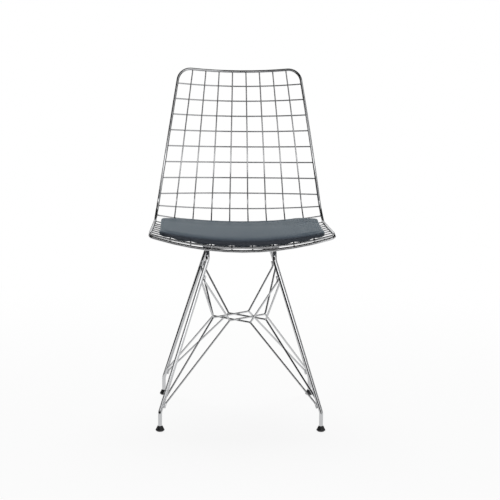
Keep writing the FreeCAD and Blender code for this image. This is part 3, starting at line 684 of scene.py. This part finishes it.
# Metal finishes: material, lowest and highest roughness, and share of the colour left where it is darkest
METALS = {
    "chrome": ("polished_chrome", 0.05, 0.13, 0.9),
    "weld": ("chromed_weld", 0.16, 0.34, 0.8),
    "plate": ("plated_strap", 0.3, 0.44, 0.85),
    "zinc": ("zinc_plated", 0.28, 0.46, 0.8),
}
# Moulded finishes: material, lowest and highest roughness, and scale of the texture
MOULDED = {
    "rubber": ("rubber", 0.55, 0.8, 900.0),
    "foot": ("foot_plastic", 0.3, 0.5, 1100.0),
}


def make_materials():
    finishes = bpy.context.scene.chair_finishes
    groups = {"patina": patina_group(), "grain": grain_group()}
    made = {}
    for finish, (name, low, high, kept) in METALS.items():
        made[finish] = metal(name, getattr(finishes, finish), low, high, kept, groups["patina"])
    for finish, (name, low, high, scale) in MOULDED.items():
        made[finish] = moulded(name, getattr(finishes, finish), low, high, scale, groups)
    made["pad"] = leatherette(finishes, groups)
    return made


MATERIALS = {}


# Operators


class CHAIR_OT_finishes(bpy.types.Operator):
    """Make the chair's materials and give the carried-over parts theirs"""

    bl_idname = "chair.finishes"
    bl_label = "Finishes"

    def execute(self, context):
        MATERIALS.update(make_materials())
        plates = ("front_seat_strap", "rear_seat_strap", "front_cross_bar", "rear_cross_bar", "strap_bosses")
        kept = dict.fromkeys(plates, "plate") | {"rubber_washers": "rubber", "mount_screws": "zinc"}
        for node, finish in kept.items():
            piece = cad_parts[node]
            piece.data.materials.clear()
            piece.data.materials.append(MATERIALS[finish])
        return {"FINISHED"}


# Share of the half angle that the rim's top and front arcs keep before their corners begin
TOP_ARC_SHARE = 0.8
FRONT_ARC_SHARE = 0.92


def rim_path(surface):
    """Closed path of the rim, from the middle of the front, round by the right."""
    sizes = surface.sizes
    top_radius, top_angle = surface.section(surface.length)
    base = surface.profile(surface.length)[0]
    top_run = base + Vector((top_radius * math.tan(TOP_ARC_SHARE * top_angle / 2), 0, 0))
    front_radius = surface.front_rim_radius()
    front_angle = math.asin(sizes.front_half_width / front_radius)
    reach = front_radius * math.tan(FRONT_ARC_SHARE * front_angle / 2)
    front_run = Vector((reach, -sizes.front_reach, sizes.seat_height - sizes.front_drop_middle))
    points = [base, top_run, surface.point(surface.length, 1, 0)]
    points += reversed(surface.back_corners(1, 0))
    points += [surface.bend_corner(1, 0), surface.point(sizes.front_drop_run, 1, 0)]
    points += [surface.front_rim_point(sizes.front_half_width), front_run, surface.front_rim_point(0)]
    radii = [top_radius, sizes.top_corner_radius, *reversed(surface.bend_radii(1))]
    radii += [sizes.front_drop_run, sizes.front_corner_radius, front_radius]
    right = rounded(points, radii, sizes.rod_gap, step=math.radians(4))
    left = [Vector((-place.x, place.y, place.z)) for place in reversed(right)]
    return right[:-1] + left[:-1]


class CHAIR_OT_rim(bpy.types.Operator):
    """Bend the rim rod round the edge of seat and back"""

    bl_idname = "chair.rim"
    bl_label = "Rim rod"

    def execute(self, context):
        surface = DishedSurface(context.scene.chair_mesh)
        piece = rod("rim_rod", rim_path(surface), surface.sizes.rim_diameter, roundness=10, closed=True)
        chromed(piece, "rim")
        return {"FINISHED"}


def cross_arc(surface, along, layer, stop, steps=22):
    """Points of an arc across the mesh, a layer's height under the dished surface."""
    radius, half_angle = surface.section(along)
    base, slope = surface.profile(along)
    up = normal(slope)
    half_angle -= stop / radius
    turns = [half_angle * (2 * index / steps - 1) for index in range(steps + 1)]
    centre = base + up * radius
    outward = [Vector((math.sin(turn), 0, 0)) - up * math.cos(turn) for turn in turns]
    return [centre + direction * (radius + layer) for direction in outward]


class CHAIR_OT_cross_wires(bpy.types.Operator):
    """Lay the cross wires and the thicker front rod under the long wires"""

    bl_idname = "chair.cross_wires"
    bl_label = "Cross wires"

    def execute(self, context):
        sizes = context.scene.chair_mesh
        surface = DishedSurface(sizes)
        layer = sizes.wire_diameter / 2 + sizes.rod_gap
        names = [f"back_cross_wire_{number}" for number in range(1, sizes.back_wire_count + 1)]
        names += [f"seat_cross_wire_{number}" for number in range(1, sizes.seat_wire_count + 1)]
        for node, along in zip(names, surface.cross_wire_places()):
            path = cross_arc(surface, along, layer, sizes.wire_diameter / 2)
            piece = rod(f"{node}_rod", path, sizes.wire_diameter)
            chromed(piece, node)
        layer = sizes.front_rod_diameter / 2 + sizes.rod_gap
        path = cross_arc(surface, sizes.front_rod_setback, layer, sizes.wire_diameter / 2)
        piece = rod("front_cross_rod_rod", path, sizes.front_rod_diameter, roundness=6)
        chromed(piece, "front_cross_rod")
        return {"FINISHED"}


class CHAIR_OT_long_wires(bpy.types.Operator):
    """Run the long wires from the top rim, down the back and along the seat to the front rim"""

    bl_idname = "chair.long_wires"
    bl_label = "Long wires"

    def execute(self, context):
        sizes = context.scene.chair_mesh
        surface = DishedSurface(sizes)
        layer = sizes.wire_diameter / 2 + sizes.rod_gap
        # The wires end half way between the rim's axis and its skin
        stop = sizes.rim_diameter / 4
        for number, part in enumerate(surface.long_wire_shares(), start=1):
            front = surface.point(0, part, layer)
            end = surface.front_rim_point(front.x) + Vector((0, 0, stop))
            points = [surface.point(surface.length - stop, part, layer)]
            points += reversed(surface.back_corners(part, layer))
            points += [surface.bend_corner(part, layer), front, end]
            radii = [*reversed(surface.bend_radii(part)), sizes.wire_drop_radius]
            piece = rod(f"long_wire_{number}_rod", rounded(points, radii, sizes.rod_gap), sizes.wire_diameter)
            chromed(piece, f"long_wire_{number}")
        return {"FINISHED"}


class Base:
    """Places on the side frames and braces."""

    def __init__(self, sizes, mesh_sizes):
        self.sizes = sizes
        self.gap = mesh_sizes.rod_gap
        self.rail_height = mesh_sizes.seat_height - sizes.mount_height

    def leg_end(self, side, end):
        height = self.sizes.foot_floor + self.gap
        return Vector((side * self.sizes.foot_half_width, end * self.sizes.foot_half_depth, height))

    def ankle(self, side, end):
        point = self.leg_end(side, end)
        return Vector((point.x, point.y, self.sizes.leg_ankle_height))

    def rail_end(self, side, end):
        across = side * self.sizes.rail_half_spacing
        return Vector((across, end * self.sizes.rail_half_length, self.rail_height))

    def knee(self, side, end):
        drop = self.sizes.rail_bend_radius + self.sizes.leg_neck_length
        return self.rail_end(side, end) - Vector((0, 0, drop))

    def frame_path(self, side):
        front = [place(side, ENDS["front"]) for place in (self.leg_end, self.ankle, self.knee, self.rail_end)]
        rear = [place(side, ENDS["rear"]) for place in (self.rail_end, self.knee, self.ankle, self.leg_end)]
        bends = [self.sizes.leg_bend_radius, self.sizes.leg_bend_radius, self.sizes.rail_bend_radius]
        return rounded(front + rear, bends + bends[::-1], self.gap, step=math.radians(5))

    def weld(self, side, end, face, height):
        """Brace axis beside a leg, and the line where the two touch."""
        knee = self.knee(side, end)
        ankle = self.ankle(side, end)
        along = (ankle - knee).normalized()
        point = knee + (ankle - knee) * ((knee.z - height) / (knee.z - ankle.z))
        inward = Vector((-side, 0, 0)) if face == "x" else Vector((0, -end, 0))
        square = (inward - along * inward.dot(along)).normalized()
        reach = (self.sizes.leg_diameter + self.sizes.brace_diameter) / 2 + self.gap
        return point + square * reach, point + square * self.sizes.leg_diameter / 2, along

    def ends(self, name, side, end, face):
        """The two axis points where a brace lies along a leg, outer end first."""
        if name == "upper":
            height = self.rail_height - self.sizes.upper_weld_drop
            outer = height + self.sizes.weld_length
        else:
            height = self.sizes.lower_weld_height
            outer = height - self.sizes.weld_length
        return [self.weld(side, end, face, place)[0] for place in (outer, height)]

    def corner(self, side, end, long_way, upper):
        reach = self.sizes.knot_half_long, self.sizes.knot_half_short
        across, deep = reach if long_way == "x" else reach[::-1]
        step = (self.sizes.brace_diameter + self.gap) / 2
        height = self.sizes.knot_height + (step if upper else -step)
        return Vector((side * across, end * deep, height))


LEFT, RIGHT = SIDES["left"], SIDES["right"]
FRONT, REAR = ENDS["front"], ENDS["rear"]
# Each brace: its two welds and the knot corner next to each
BRACES = {
    "upper_brace_left": (
        ("upper", LEFT, FRONT, "y"), (LEFT, FRONT, "x"), (RIGHT, REAR, "y"), ("upper", RIGHT, REAR, "x"),
    ),
    "upper_brace_right": (
        ("upper", LEFT, FRONT, "x"), (LEFT, FRONT, "y"), (RIGHT, REAR, "x"), ("upper", RIGHT, REAR, "y"),
    ),
    "lower_brace_rear": (
        ("lower", LEFT, REAR, "x"), (LEFT, REAR, "y"), (RIGHT, FRONT, "x"), ("lower", RIGHT, FRONT, "y"),
    ),
    "lower_brace_front": (
        ("lower", LEFT, REAR, "y"), (LEFT, REAR, "x"), (RIGHT, FRONT, "y"), ("lower", RIGHT, FRONT, "x"),
    ),
}
# Each strut: its weld and the knot corner that it meets, named by its brace's place
STRUTS = (
    (("upper", LEFT, REAR, "x"), (LEFT, REAR, "y")),
    (("upper", LEFT, REAR, "y"), (LEFT, REAR, "x")),
    (("upper", RIGHT, FRONT, "y"), (RIGHT, FRONT, "x")),
    (("upper", RIGHT, FRONT, "x"), (RIGHT, FRONT, "y")),
    (("lower", LEFT, FRONT, "y"), (LEFT, FRONT, "x")),
    (("lower", LEFT, FRONT, "x"), (LEFT, FRONT, "y")),
    (("lower", RIGHT, REAR, "x"), (RIGHT, REAR, "y")),
    (("lower", RIGHT, REAR, "y"), (RIGHT, REAR, "x")),
)


def brace_points(base, plan):
    """Corner points and bend radii of one brace."""
    first_weld, first_corner, last_corner, last_weld = plan
    upper = first_weld[0] == "upper"
    points = base.ends(*first_weld)
    points += [base.corner(*first_corner, upper), base.corner(*last_corner, upper)]
    points += reversed(base.ends(*last_weld))
    radii = [base.sizes.weld_bend_radius, base.sizes.knot_bend_radius]
    return points, radii + radii[::-1]


def knot_middles(base):
    """Middle of the wire in each of the knot's eight bends."""
    middles = {}
    for plan in BRACES.values():
        points, radii = brace_points(base, plan)
        reaches = bend_reaches(points, radii, base.gap)
        for corner, index in ((plan[1], 2), (plan[2], 3)):
            middles[corner] = arc_middle(*points[index - 1:index + 2], reaches[index - 1])
    return middles


class CHAIR_OT_base(bpy.types.Operator):
    """Bend the side frames, the brace wires and the struts"""

    bl_idname = "chair.base"
    bl_label = "Wire base"

    def execute(self, context):
        base = Base(context.scene.chair_base, context.scene.chair_mesh)
        sizes = base.sizes
        for side_name, side in SIDES.items():
            node = f"{side_name}_side_frame"
            piece = rod(f"{node}_rod", base.frame_path(side), sizes.leg_diameter, roundness=10)
            chromed(piece, node)
        for node, plan in BRACES.items():
            points, radii = brace_points(base, plan)
            piece = rod(f"{node}_rod", rounded(points, radii, base.gap), sizes.brace_diameter, roundness=6)
            chromed(piece, node)
        middles = knot_middles(base)
        for number, (weld, corner) in enumerate(STRUTS, start=1):
            outer, inner = base.ends(*weld)
            away = (inner - middles[corner]).normalized()
            points = [outer, inner, middles[corner] + away * sizes.brace_diameter / 4]
            path = rounded(points, [sizes.weld_bend_radius], base.gap)
            piece = rod(f"strut_{number}_rod", path, sizes.brace_diameter, roundness=6)
            chromed(piece, f"strut_{number}")
        return {"FINISHED"}


# Half sizes of the weld beads along, across and up, in half diameters of the wire
BEADS = {"crossing": (1.25, 1.25, 0.62), "end": (0.9, 1.3, 1.2), "knot": (1.1, 1.1, 0.55)}
# How far the beads at the wires' ends sit from the dished surface, in half diameters of the wire
END_BEAD_LAYER = 0.8
# The seam where a brace lies along a leg: half its length as a share of the weld's, and its other half sizes
SEAM_LENGTH_SHARE = 0.55
SEAM_WIDTHS = (0.95, 0.55)


def bead(shares, wire, segments=10, rings=6):
    """One weld bead, a squashed ball sized by the wire's half diameter."""
    deselect_all()
    bpy.ops.mesh.primitive_uv_sphere_add(segments=segments, ring_count=rings, radius=1)
    bpy.ops.transform.resize(value=[wire * part for part in shares])
    bpy.ops.object.transform_apply(location=False, rotation=False, scale=True)
    bpy.ops.object.shade_smooth()
    return bpy.context.object


def welds(name, original, placements):
    """Copies of one modelled bead, each with its own mesh, joined into one chromed piece."""
    pieces = []
    for placement in placements:
        copy = original.copy()
        copy.data = original.data.copy()
        bpy.context.collection.objects.link(copy)
        copy.matrix_world = placement
        pieces.append(copy)
    bpy.data.objects.remove(original)
    bpy.context.view_layer.update()
    return dress(joined(name, pieces), MATERIALS["weld"], "chromed_steel", FRAME_BODY)


def facing(place, up, along):
    """Placement with its Z along up and its X as near as can be to along."""
    upward = up.normalized()
    across = upward.cross(along).normalized()
    forward = across.cross(upward)
    turn = Matrix((forward, across, upward)).transposed()
    return Matrix.Translation(place) @ turn.to_4x4()


def mesh_crossings(surface, rows):
    """Placements of the spots where long wires cross the rows."""
    placements = []
    for along in rows:
        for part in surface.long_wire_shares():
            up = surface.upward(along, part)
            placements.append(facing(surface.point(along, part, 0), up, Vector((1, 0, 0))))
    return placements


class CHAIR_OT_welds(bpy.types.Operator):
    """Set the small chromed weld beads where wires cross, meet the rim and leave the legs"""

    bl_idname = "chair.welds"
    bl_label = "Weld beads"

    def execute(self, context):
        sizes = context.scene.chair_mesh
        surface = DishedSurface(sizes)
        rows = [*surface.cross_wire_places(), sizes.front_rod_setback]
        crossing = bead(BEADS["crossing"], sizes.wire_diameter / 2)
        welds("mesh_welds", crossing, mesh_crossings(surface, rows))
        self.rim_welds(surface, rows)
        self.base_welds(context)
        return {"FINISHED"}

    def rim_welds(self, surface, rows):
        sizes = surface.sizes
        wire = sizes.wire_diameter / 2
        layer = wire * END_BEAD_LAYER
        reach = sizes.rim_diameter / 2
        placements = []
        for along in rows:
            radius, half_angle = surface.section(along)
            for side in SIDES.values():
                part = side * (1 - reach / (radius * half_angle))
                place = surface.point(along, part, -layer)
                placements.append(facing(place, surface.upward(along, part), Vector((1, 0, 0))))
        for part in surface.long_wire_shares():
            place = surface.point(surface.length - reach, part, layer)
            slope = surface.profile(surface.length)[1]
            placements.append(facing(place, normal(slope), Vector((0, math.cos(slope), math.sin(slope)))))
            front = surface.point(0, part, 0)
            place = surface.front_rim_point(front.x) + Vector((0, 0, reach))
            placements.append(facing(place, Vector((0, -1, 0)), Vector((0, 0, 1))))
        welds("rim_welds", bead(BEADS["end"], wire), placements)

    def base_welds(self, context):
        base = Base(context.scene.chair_base, context.scene.chair_mesh)
        wire = base.sizes.brace_diameter / 2
        placements = []
        ends = [plan[0] for plan in BRACES.values()] + [plan[3] for plan in BRACES.values()]
        ends += [strut[0] for strut in STRUTS]
        for level, side, end, face in ends:
            if level == "upper":
                height = base.rail_height - base.sizes.upper_weld_drop + base.sizes.weld_length / 2
            else:
                height = base.sizes.lower_weld_height - base.sizes.weld_length / 2
            axis, touch, along = base.weld(side, end, face, height)
            placements.append(facing(touch, axis - touch, along))
        long_way = base.sizes.weld_length * SEAM_LENGTH_SHARE / wire
        seam = bead((long_way, *SEAM_WIDTHS), wire, segments=14, rings=8)
        welds("leg_welds", seam, placements)
        middles = knot_middles(base)
        placements = []
        for weld, corner in STRUTS:
            away = (base.ends(*weld)[1] - middles[corner]).normalized()
            placements.append(facing(middles[corner] + away * wire, away, Vector((0, 0, 1))))
        crossing = base.sizes.knot_half_long - base.sizes.knot_half_short
        for side in SIDES.values():
            for place in (Vector((side * crossing, 0, 0)), Vector((0, side * crossing, 0))):
                centre = place + Vector((0, 0, base.sizes.knot_height))
                placements.append(facing(centre, Vector((0, 0, 1)), Vector((1, 0, 0))))
        spot = bead(BEADS["knot"], wire, segments=12, rings=8)
        welds("knot_welds", spot, placements)


# Ring radii and heights of a foot, from its flat face up, over its shoulder and down its socket, in mm
FOOT_RINGS = (
    (7.6, 0), (8.0, 0.25), (9.9, 1.9), (11.05, 3.1), (11.35, 4.0), (11.05, 4.9), (10.2, 6.3), (8.2, 10.2),
    (7.1, 12.4), (6.65, 13.5), (6.4, 13.9), (5.9, 14.0), (5.2, 13.85), (5.08, 13.2), (5.08, 8.0),
)


class CHAIR_OT_feet(bpy.types.Operator):
    """Turn a flared foot from rings and set one under each leg"""

    bl_idname = "chair.feet"
    bl_label = "Feet"

    def execute(self, context):
        sizes = context.scene.chair_base
        deselect_all()
        radius, height = FOOT_RINGS[0]
        bpy.ops.mesh.primitive_circle_add(vertices=40, radius=radius * MM, fill_type="NGON")
        bpy.ops.object.mode_set(mode="EDIT")
        bpy.ops.mesh.select_all(action="SELECT")
        for wider, higher in FOOT_RINGS[1:]:
            step = (0, 0, (higher - height) * MM)
            bpy.ops.mesh.extrude_region_move(TRANSFORM_OT_translate={"value": step})
            grown = wider / radius
            bpy.ops.transform.resize(value=(grown, grown, 1), center_override=(0, 0, higher * MM))
            radius, height = wider, higher
        bpy.ops.mesh.select_all(action="SELECT")
        bpy.ops.mesh.normals_make_consistent(inside=False)
        bpy.ops.object.mode_set(mode="OBJECT")
        original = named("foot")
        smooth(original, 50)
        for end_name, end in ENDS.items():
            for side_name, side in SIDES.items():
                foot = original.copy()
                foot.data = original.data.copy()
                context.collection.objects.link(foot)
                foot.location = (side * sizes.foot_half_width, end * sizes.foot_half_depth, 0)
                pick(foot)
                foot = named(f"{end_name}_{side_name}_foot_cap")
                dress(foot, MATERIALS["foot"], "foot_plastic", FRAME_BODY, f"{end_name}_{side_name}_foot")
        bpy.data.objects.remove(original)
        return {"FINISHED"}


def eased(value, start, end):
    """From 0 at the start to 1 at the end, level at both."""
    part = min(1, max(0, (value - start) / (end - start)))
    return part * part * (3 - 2 * part)


def smooth_cap(distance, limit):
    """A movement held under a limit without a hard stop."""
    return limit * math.tanh(distance / limit)


# Shares of the pad's depth where the rear fill begins, is highest and ends
REAR_FILL_SPAN = (0.64, 0.87, 0.96)
# Shares of the pad's depth, and of its half width, over which its right rear corner stands up
CORNER_DEPTH = (0.6, 0.85)
CORNER_WIDTH = (0.5, 0.85)
# Share that the corner loses again next to the pad's side, and where
CORNER_LOSS = 0.6
CORNER_SIDE = (0.8, 0.95)
# How far a point must face up to be lifted with the top, from not at all to fully
TOP_FACING = (-0.2, 0.3)
# Points that face down more than this rest on the wires
UNDERSIDE_FACING = -0.3
# How narrowly the underside is held up over each long wire
WIRE_HOLD = 6


class CHAIR_OT_pad(bpy.types.Operator):
    """Stuff the loose seat pad: cloth blown up inside its own space"""

    bl_idname = "chair.pad"
    bl_label = "Seat pad"

    def execute(self, context):
        sizes = context.scene.chair_pad
        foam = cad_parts["seat_pad_foam"]
        piece = bpy.data.objects.new("seat_pad_leatherette", foam.data.copy())
        context.collection.objects.link(piece)
        pick(piece)
        bpy.ops.object.mode_set(mode="EDIT")
        bpy.ops.mesh.select_all(action="SELECT")
        bpy.ops.mesh.remove_doubles(threshold=0.01 * MM)
        bpy.ops.object.mode_set(mode="OBJECT")
        piece.data.remesh_voxel_size = sizes.voxel
        bpy.ops.object.voxel_remesh()
        normals = [vertex.normal.copy() for vertex in piece.data.vertices]
        for vertex, outward in zip(piece.data.vertices, normals):
            vertex.co += outward * sizes.skin
        self.blow_up(context, piece, sizes, normals)
        self.settle(context, piece, sizes, normals)
        rounder = piece.modifiers.new("Rounder", "SUBSURF")
        rounder.levels = 1
        rounder.render_levels = 1
        pick(piece)
        bpy.ops.object.modifier_apply(modifier=rounder.name)
        bpy.ops.object.shade_smooth()
        dress(piece, MATERIALS["pad"], "pad_leatherette", PAD_BODY, "seat_pad_cover", "seat_pad_foam")
        return {"FINISHED"}

    def settle(self, context, piece, sizes, normals):
        """Sink the underside between the long wires, lean the front edge out and fill the rear."""
        surface = DishedSurface(context.scene.chair_mesh)
        lanes = (surface.sizes.long_wire_count + 1) / 2
        lip_start = sizes.lip_run - surface.sizes.front_reach
        low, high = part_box("seat_pad_foam")
        for vertex, outward in zip(piece.data.vertices, normals):
            along = vertex.co.y + surface.sizes.front_reach
            lane = lanes * vertex.co.x / surface.half_width(min(along, surface.flat_length))
            if along < surface.flat_length:
                between = 1 - abs(math.sin(math.pi * lane)) ** WIRE_HOLD
                vertex.co.z -= sizes.sag * between * max(0, -outward.z)
            vertex.co.y -= sizes.lip * eased(lip_start - vertex.co.y, 0, sizes.lip_run)
            backwards = (vertex.co.y - low[1]) / (high[1] - low[1])
            sideways = vertex.co.x / high[0]
            begins, highest, ends = REAR_FILL_SPAN
            lift = sizes.rear_fill * eased(backwards, begins, highest) * (1 - eased(backwards, highest, ends))
            corner = eased(sideways, *CORNER_WIDTH) * (1 - CORNER_LOSS * eased(sideways, *CORNER_SIDE))
            lift += sizes.corner_lift * corner * eased(backwards, *CORNER_DEPTH)
            vertex.co.z += lift * eased(outward.z, *TOP_FACING)

    def blow_up(self, context, piece, sizes, normals):
        """Cloth under pressure, each point held within a few millimetres of its start."""
        start = [vertex.co.copy() for vertex in piece.data.vertices]
        cloth = piece.modifiers.new("Cloth", "CLOTH")
        settings = cloth.settings
        settings.quality = 6
        settings.mass = 0.25
        settings.tension_stiffness = 18
        settings.compression_stiffness = 6
        settings.shear_stiffness = 5
        settings.bending_stiffness = 0.3
        settings.use_pressure = True
        settings.uniform_pressure_force = sizes.pressure
        settings.effector_weights.gravity = 0
        cloth.point_cache.frame_start = 1
        cloth.point_cache.frame_end = sizes.frames
        for step in range(1, sizes.frames + 1):
            context.scene.frame_set(step)
        pick(piece)
        bpy.ops.object.modifier_apply(modifier=cloth.name)
        context.scene.frame_set(1)
        for vertex, place, outward in zip(piece.data.vertices, start, normals):
            moved = vertex.co - place
            limit = sizes.settle if outward.z < UNDERSIDE_FACING else sizes.swell
            vertex.co = place + moved.normalized() * smooth_cap(moved.length, limit)


# Width of the camera's sensor, in mm
SENSOR_WIDTH = 36
# Softboxes: place, what they point at, and width and height, in metres
TOP_SOFTBOX = ((0, 1.2, 3.3), (0, 0, 0.45), (2.2, 2.2))
FRONT_SOFTBOX = ((0, -4.3, 1.28), (0, 0, 0.5), (2.2, 0.8))
# Distances from the chair between which the floor fades to white, in metres
FLOOR_FADE = (0.35, 2.2)
# Dark cards round the set: way round from the chair's front and width in degrees, bottom and top in metres
WALL_CARDS = (
    (-20, 64, 0, 0.84), (-20, 64, 2.3, 3.6), (2, 12, 1.45, 2.3), (66, 42, 0, 3.6), (-76, 48, 0, 3.6),
    (180, 40, 0, 0.84), (130, 24, 0, 3.6), (-130, 24, 0, 3.6),
)
# Dark cards overhead and on the floor: left, right, front and back edge, in metres
CEILING_CARDS = ((-6.3, 0.8, -4.9, 6.3), (0.8, 6.3, -1.6, 6.3))
FLOOR_CARDS = ((-8, 0.35, -8, -0.45), (-8, -0.6, -0.45, 8), (-0.6, 8, 1.1, 8))


class CHAIR_OT_stage(bpy.types.Operator):
    """Set the floor, the plain studio light and the camera"""

    bl_idname = "chair.stage"
    bl_label = "Stage"

    def execute(self, context):
        settings = context.scene.chair_stage
        self.floor(context, settings)
        self.world(context, settings)
        self.softbox("top_softbox", *TOP_SOFTBOX, settings.top_light)
        self.softbox("front_softbox", *FRONT_SOFTBOX, settings.front_light, glossy=True)
        self.cards(settings)
        self.camera(context, settings)
        context.scene.view_settings.view_transform = "Standard"
        return {"FINISHED"}

    def floor(self, context, settings):
        """A pale floor that fades to white away from the chair, and keeps its shadow."""
        deselect_all()
        bpy.ops.mesh.primitive_plane_add(size=settings.floor_size)
        floor = named("floor")
        material, tree, shader, place = new_material("seamless_floor")
        path = tree.nodes.new("ShaderNodeLightPath").outputs
        finishes = context.scene.chair_finishes
        tone = tinted(tree, path["Is Camera Ray"], finishes.floor_bounce, finishes.floor)
        tree.links.new(tone, shader.inputs["Base Color"])
        shader.inputs["Roughness"].default_value = 0.3
        shader.inputs["Specular IOR Level"].default_value = 0
        distance = add_node(tree, "ShaderNodeVectorMath", {"operation": "LENGTH"})
        tree.links.new(place, distance.inputs[0])
        fade = tree.nodes.new("ShaderNodeMapRange")
        fade.interpolation_type = "SMOOTHSTEP"
        tree.links.new(distance.outputs["Value"], fade.inputs["Value"])
        fade.inputs["From Min"].default_value = FLOOR_FADE[0]
        fade.inputs["From Max"].default_value = FLOOR_FADE[1]
        fade.inputs["To Min"].default_value = settings.bright_floor
        seen = math_node(tree, "MAXIMUM", path["Is Camera Ray"], path["Is Glossy Ray"])
        white = tree.nodes.new("ShaderNodeEmission")
        white.inputs["Color"].default_value = (1, 1, 1, 1)
        mix = tree.nodes.new("ShaderNodeMixShader")
        tree.links.new(math_node(tree, "MULTIPLY", seen, fade.outputs["Result"]), mix.inputs["Fac"])
        tree.links.new(shader.outputs["BSDF"], mix.inputs[1])
        tree.links.new(white.outputs["Emission"], mix.inputs[2])
        tree.links.new(mix.outputs["Shader"], tree.nodes["Material Output"].inputs["Surface"])
        floor.data.materials.append(material)

    def world(self, context, settings):
        """Plain white for camera, mirror and glass rays, and softer for the light on surfaces."""
        world = bpy.data.worlds.new("studio")
        world.use_nodes = True
        context.scene.world = world
        tree = world.node_tree
        background = tree.nodes["Background"]
        background.inputs["Color"].default_value = (1, 1, 1, 1)
        path = tree.nodes.new("ShaderNodeLightPath").outputs
        seen = math_node(tree, "MAXIMUM", path["Is Camera Ray"], path["Is Glossy Ray"])
        seen = math_node(tree, "MAXIMUM", seen, path["Is Transmission Ray"])
        strength = spread(tree, seen, settings.world, 1.0)
        tree.links.new(strength, background.inputs["Strength"])

    def softbox(self, name, place, target, size, watts, glossy=False):
        light = bpy.data.lights.new(name, "AREA")
        light.shape = "RECTANGLE"
        light.size, light.size_y = size
        light.energy = watts
        lamp = bpy.data.objects.new(name, light)
        bpy.context.collection.objects.link(lamp)
        lamp.location = place
        lamp.visible_camera = False
        lamp.visible_glossy = glossy
        lamp.rotation_euler = (Vector(target) - Vector(place)).to_track_quat("-Z", "Y").to_euler()

    def cards(self, settings):
        """Dark cards round the set, seen only in reflections, that draw the dark lines on chrome."""
        material, _, shader, _ = new_material("dark_card")
        shader.inputs["Base Color"].default_value = (0, 0, 0, 1)
        shader.inputs["Specular IOR Level"].default_value = 0
        shader.inputs["Emission Color"].default_value = (1, 1, 1, 1)
        shader.inputs["Emission Strength"].default_value = settings.card_tone
        cards = []
        for number, (degrees, width, bottom, top) in enumerate(WALL_CARDS, start=1):
            turn = math.radians(degrees)
            place = Vector((math.sin(turn), -math.cos(turn), 0)) * settings.card_distance
            place.z = (bottom + top) / 2
            wide = 2 * settings.card_distance * math.tan(math.radians(width) / 2)
            scale = (wide, top - bottom, 1)
            cards.append(self.card(f"wall_card_{number}", place, scale, (math.pi / 2, 0, turn)))
        # The floor's cards lie just over it
        levels = (("ceiling", CEILING_CARDS, settings.card_height), ("floor", FLOOR_CARDS, MM))
        for level, edges, height in levels:
            for number, (left, right, front, back) in enumerate(edges, start=1):
                place = ((left + right) / 2, (front + back) / 2, height)
                cards.append(self.card(f"{level}_card_{number}", place, (right - left, back - front, 1)))
        for card in cards:
            card.data.materials.append(material)
            card.visible_camera = False
            card.visible_diffuse = False
            card.visible_transmission = False
            card.visible_shadow = False

    def card(self, name, place, scale, rotation=(0, 0, 0)):
        deselect_all()
        bpy.ops.mesh.primitive_plane_add(size=1, location=place, rotation=rotation)
        bpy.context.object.scale = scale
        return named(name)

    def camera(self, context, settings):
        data = bpy.data.cameras.new("photo_camera")
        data.lens = settings.lens
        data.sensor_width = SENSOR_WIDTH
        camera = bpy.data.objects.new("photo_camera", data)
        context.collection.objects.link(camera)
        side = settings.camera_side
        distance = settings.camera_distance
        camera.location = (distance * math.sin(side), -distance * math.cos(side), settings.camera_height)
        aim = side + settings.camera_aim
        turn = Matrix.Rotation(aim, 4, "Z") @ Matrix.Rotation(math.pi / 2 - settings.camera_pitch, 4, "X")
        camera.rotation_euler = (turn @ Matrix.Rotation(settings.camera_roll, 4, "Z")).to_euler()
        context.scene.camera = camera


class CHAIR_PT_panel(bpy.types.Panel):
    """Lists the chair's pieces in the order that they are made"""

    bl_idname = "CHAIR_PT_panel"
    bl_label = "Wire mesh chair"
    bl_space_type = "VIEW_3D"
    bl_region_type = "UI"
    bl_category = "Chair"

    def draw(self, context):
        for operator in OPERATORS:
            self.layout.operator(operator.bl_idname)


GROUPS = {
    "chair_mesh": CHAIR_MeshSizes,
    "chair_base": CHAIR_BaseSizes,
    "chair_pad": CHAIR_PadSizes,
    "chair_finishes": CHAIR_Finishes,
    "chair_stage": CHAIR_StageSettings,
}
OPERATORS = (
    CHAIR_OT_finishes,
    CHAIR_OT_rim,
    CHAIR_OT_cross_wires,
    CHAIR_OT_long_wires,
    CHAIR_OT_base,
    CHAIR_OT_welds,
    CHAIR_OT_feet,
    CHAIR_OT_pad,
    CHAIR_OT_stage,
)


def register():
    for item in (*GROUPS.values(), *OPERATORS, CHAIR_PT_panel):
        bpy.utils.register_class(item)
    for name, group in GROUPS.items():
        setattr(bpy.types.Scene, name, bpy.props.PointerProperty(type=group))


def unregister():
    for name in GROUPS:
        delattr(bpy.types.Scene, name)
    for item in reversed((*GROUPS.values(), *OPERATORS, CHAIR_PT_panel)):
        bpy.utils.unregister_class(item)


def main():
    register()
    bpy.ops.chair.finishes()
    bpy.ops.chair.rim()
    bpy.ops.chair.cross_wires()
    bpy.ops.chair.long_wires()
    bpy.ops.chair.base()
    bpy.ops.chair.welds()
    bpy.ops.chair.feet()
    bpy.ops.chair.pad()
    bpy.ops.chair.stage()


if __name__ == "__main__":
    main()
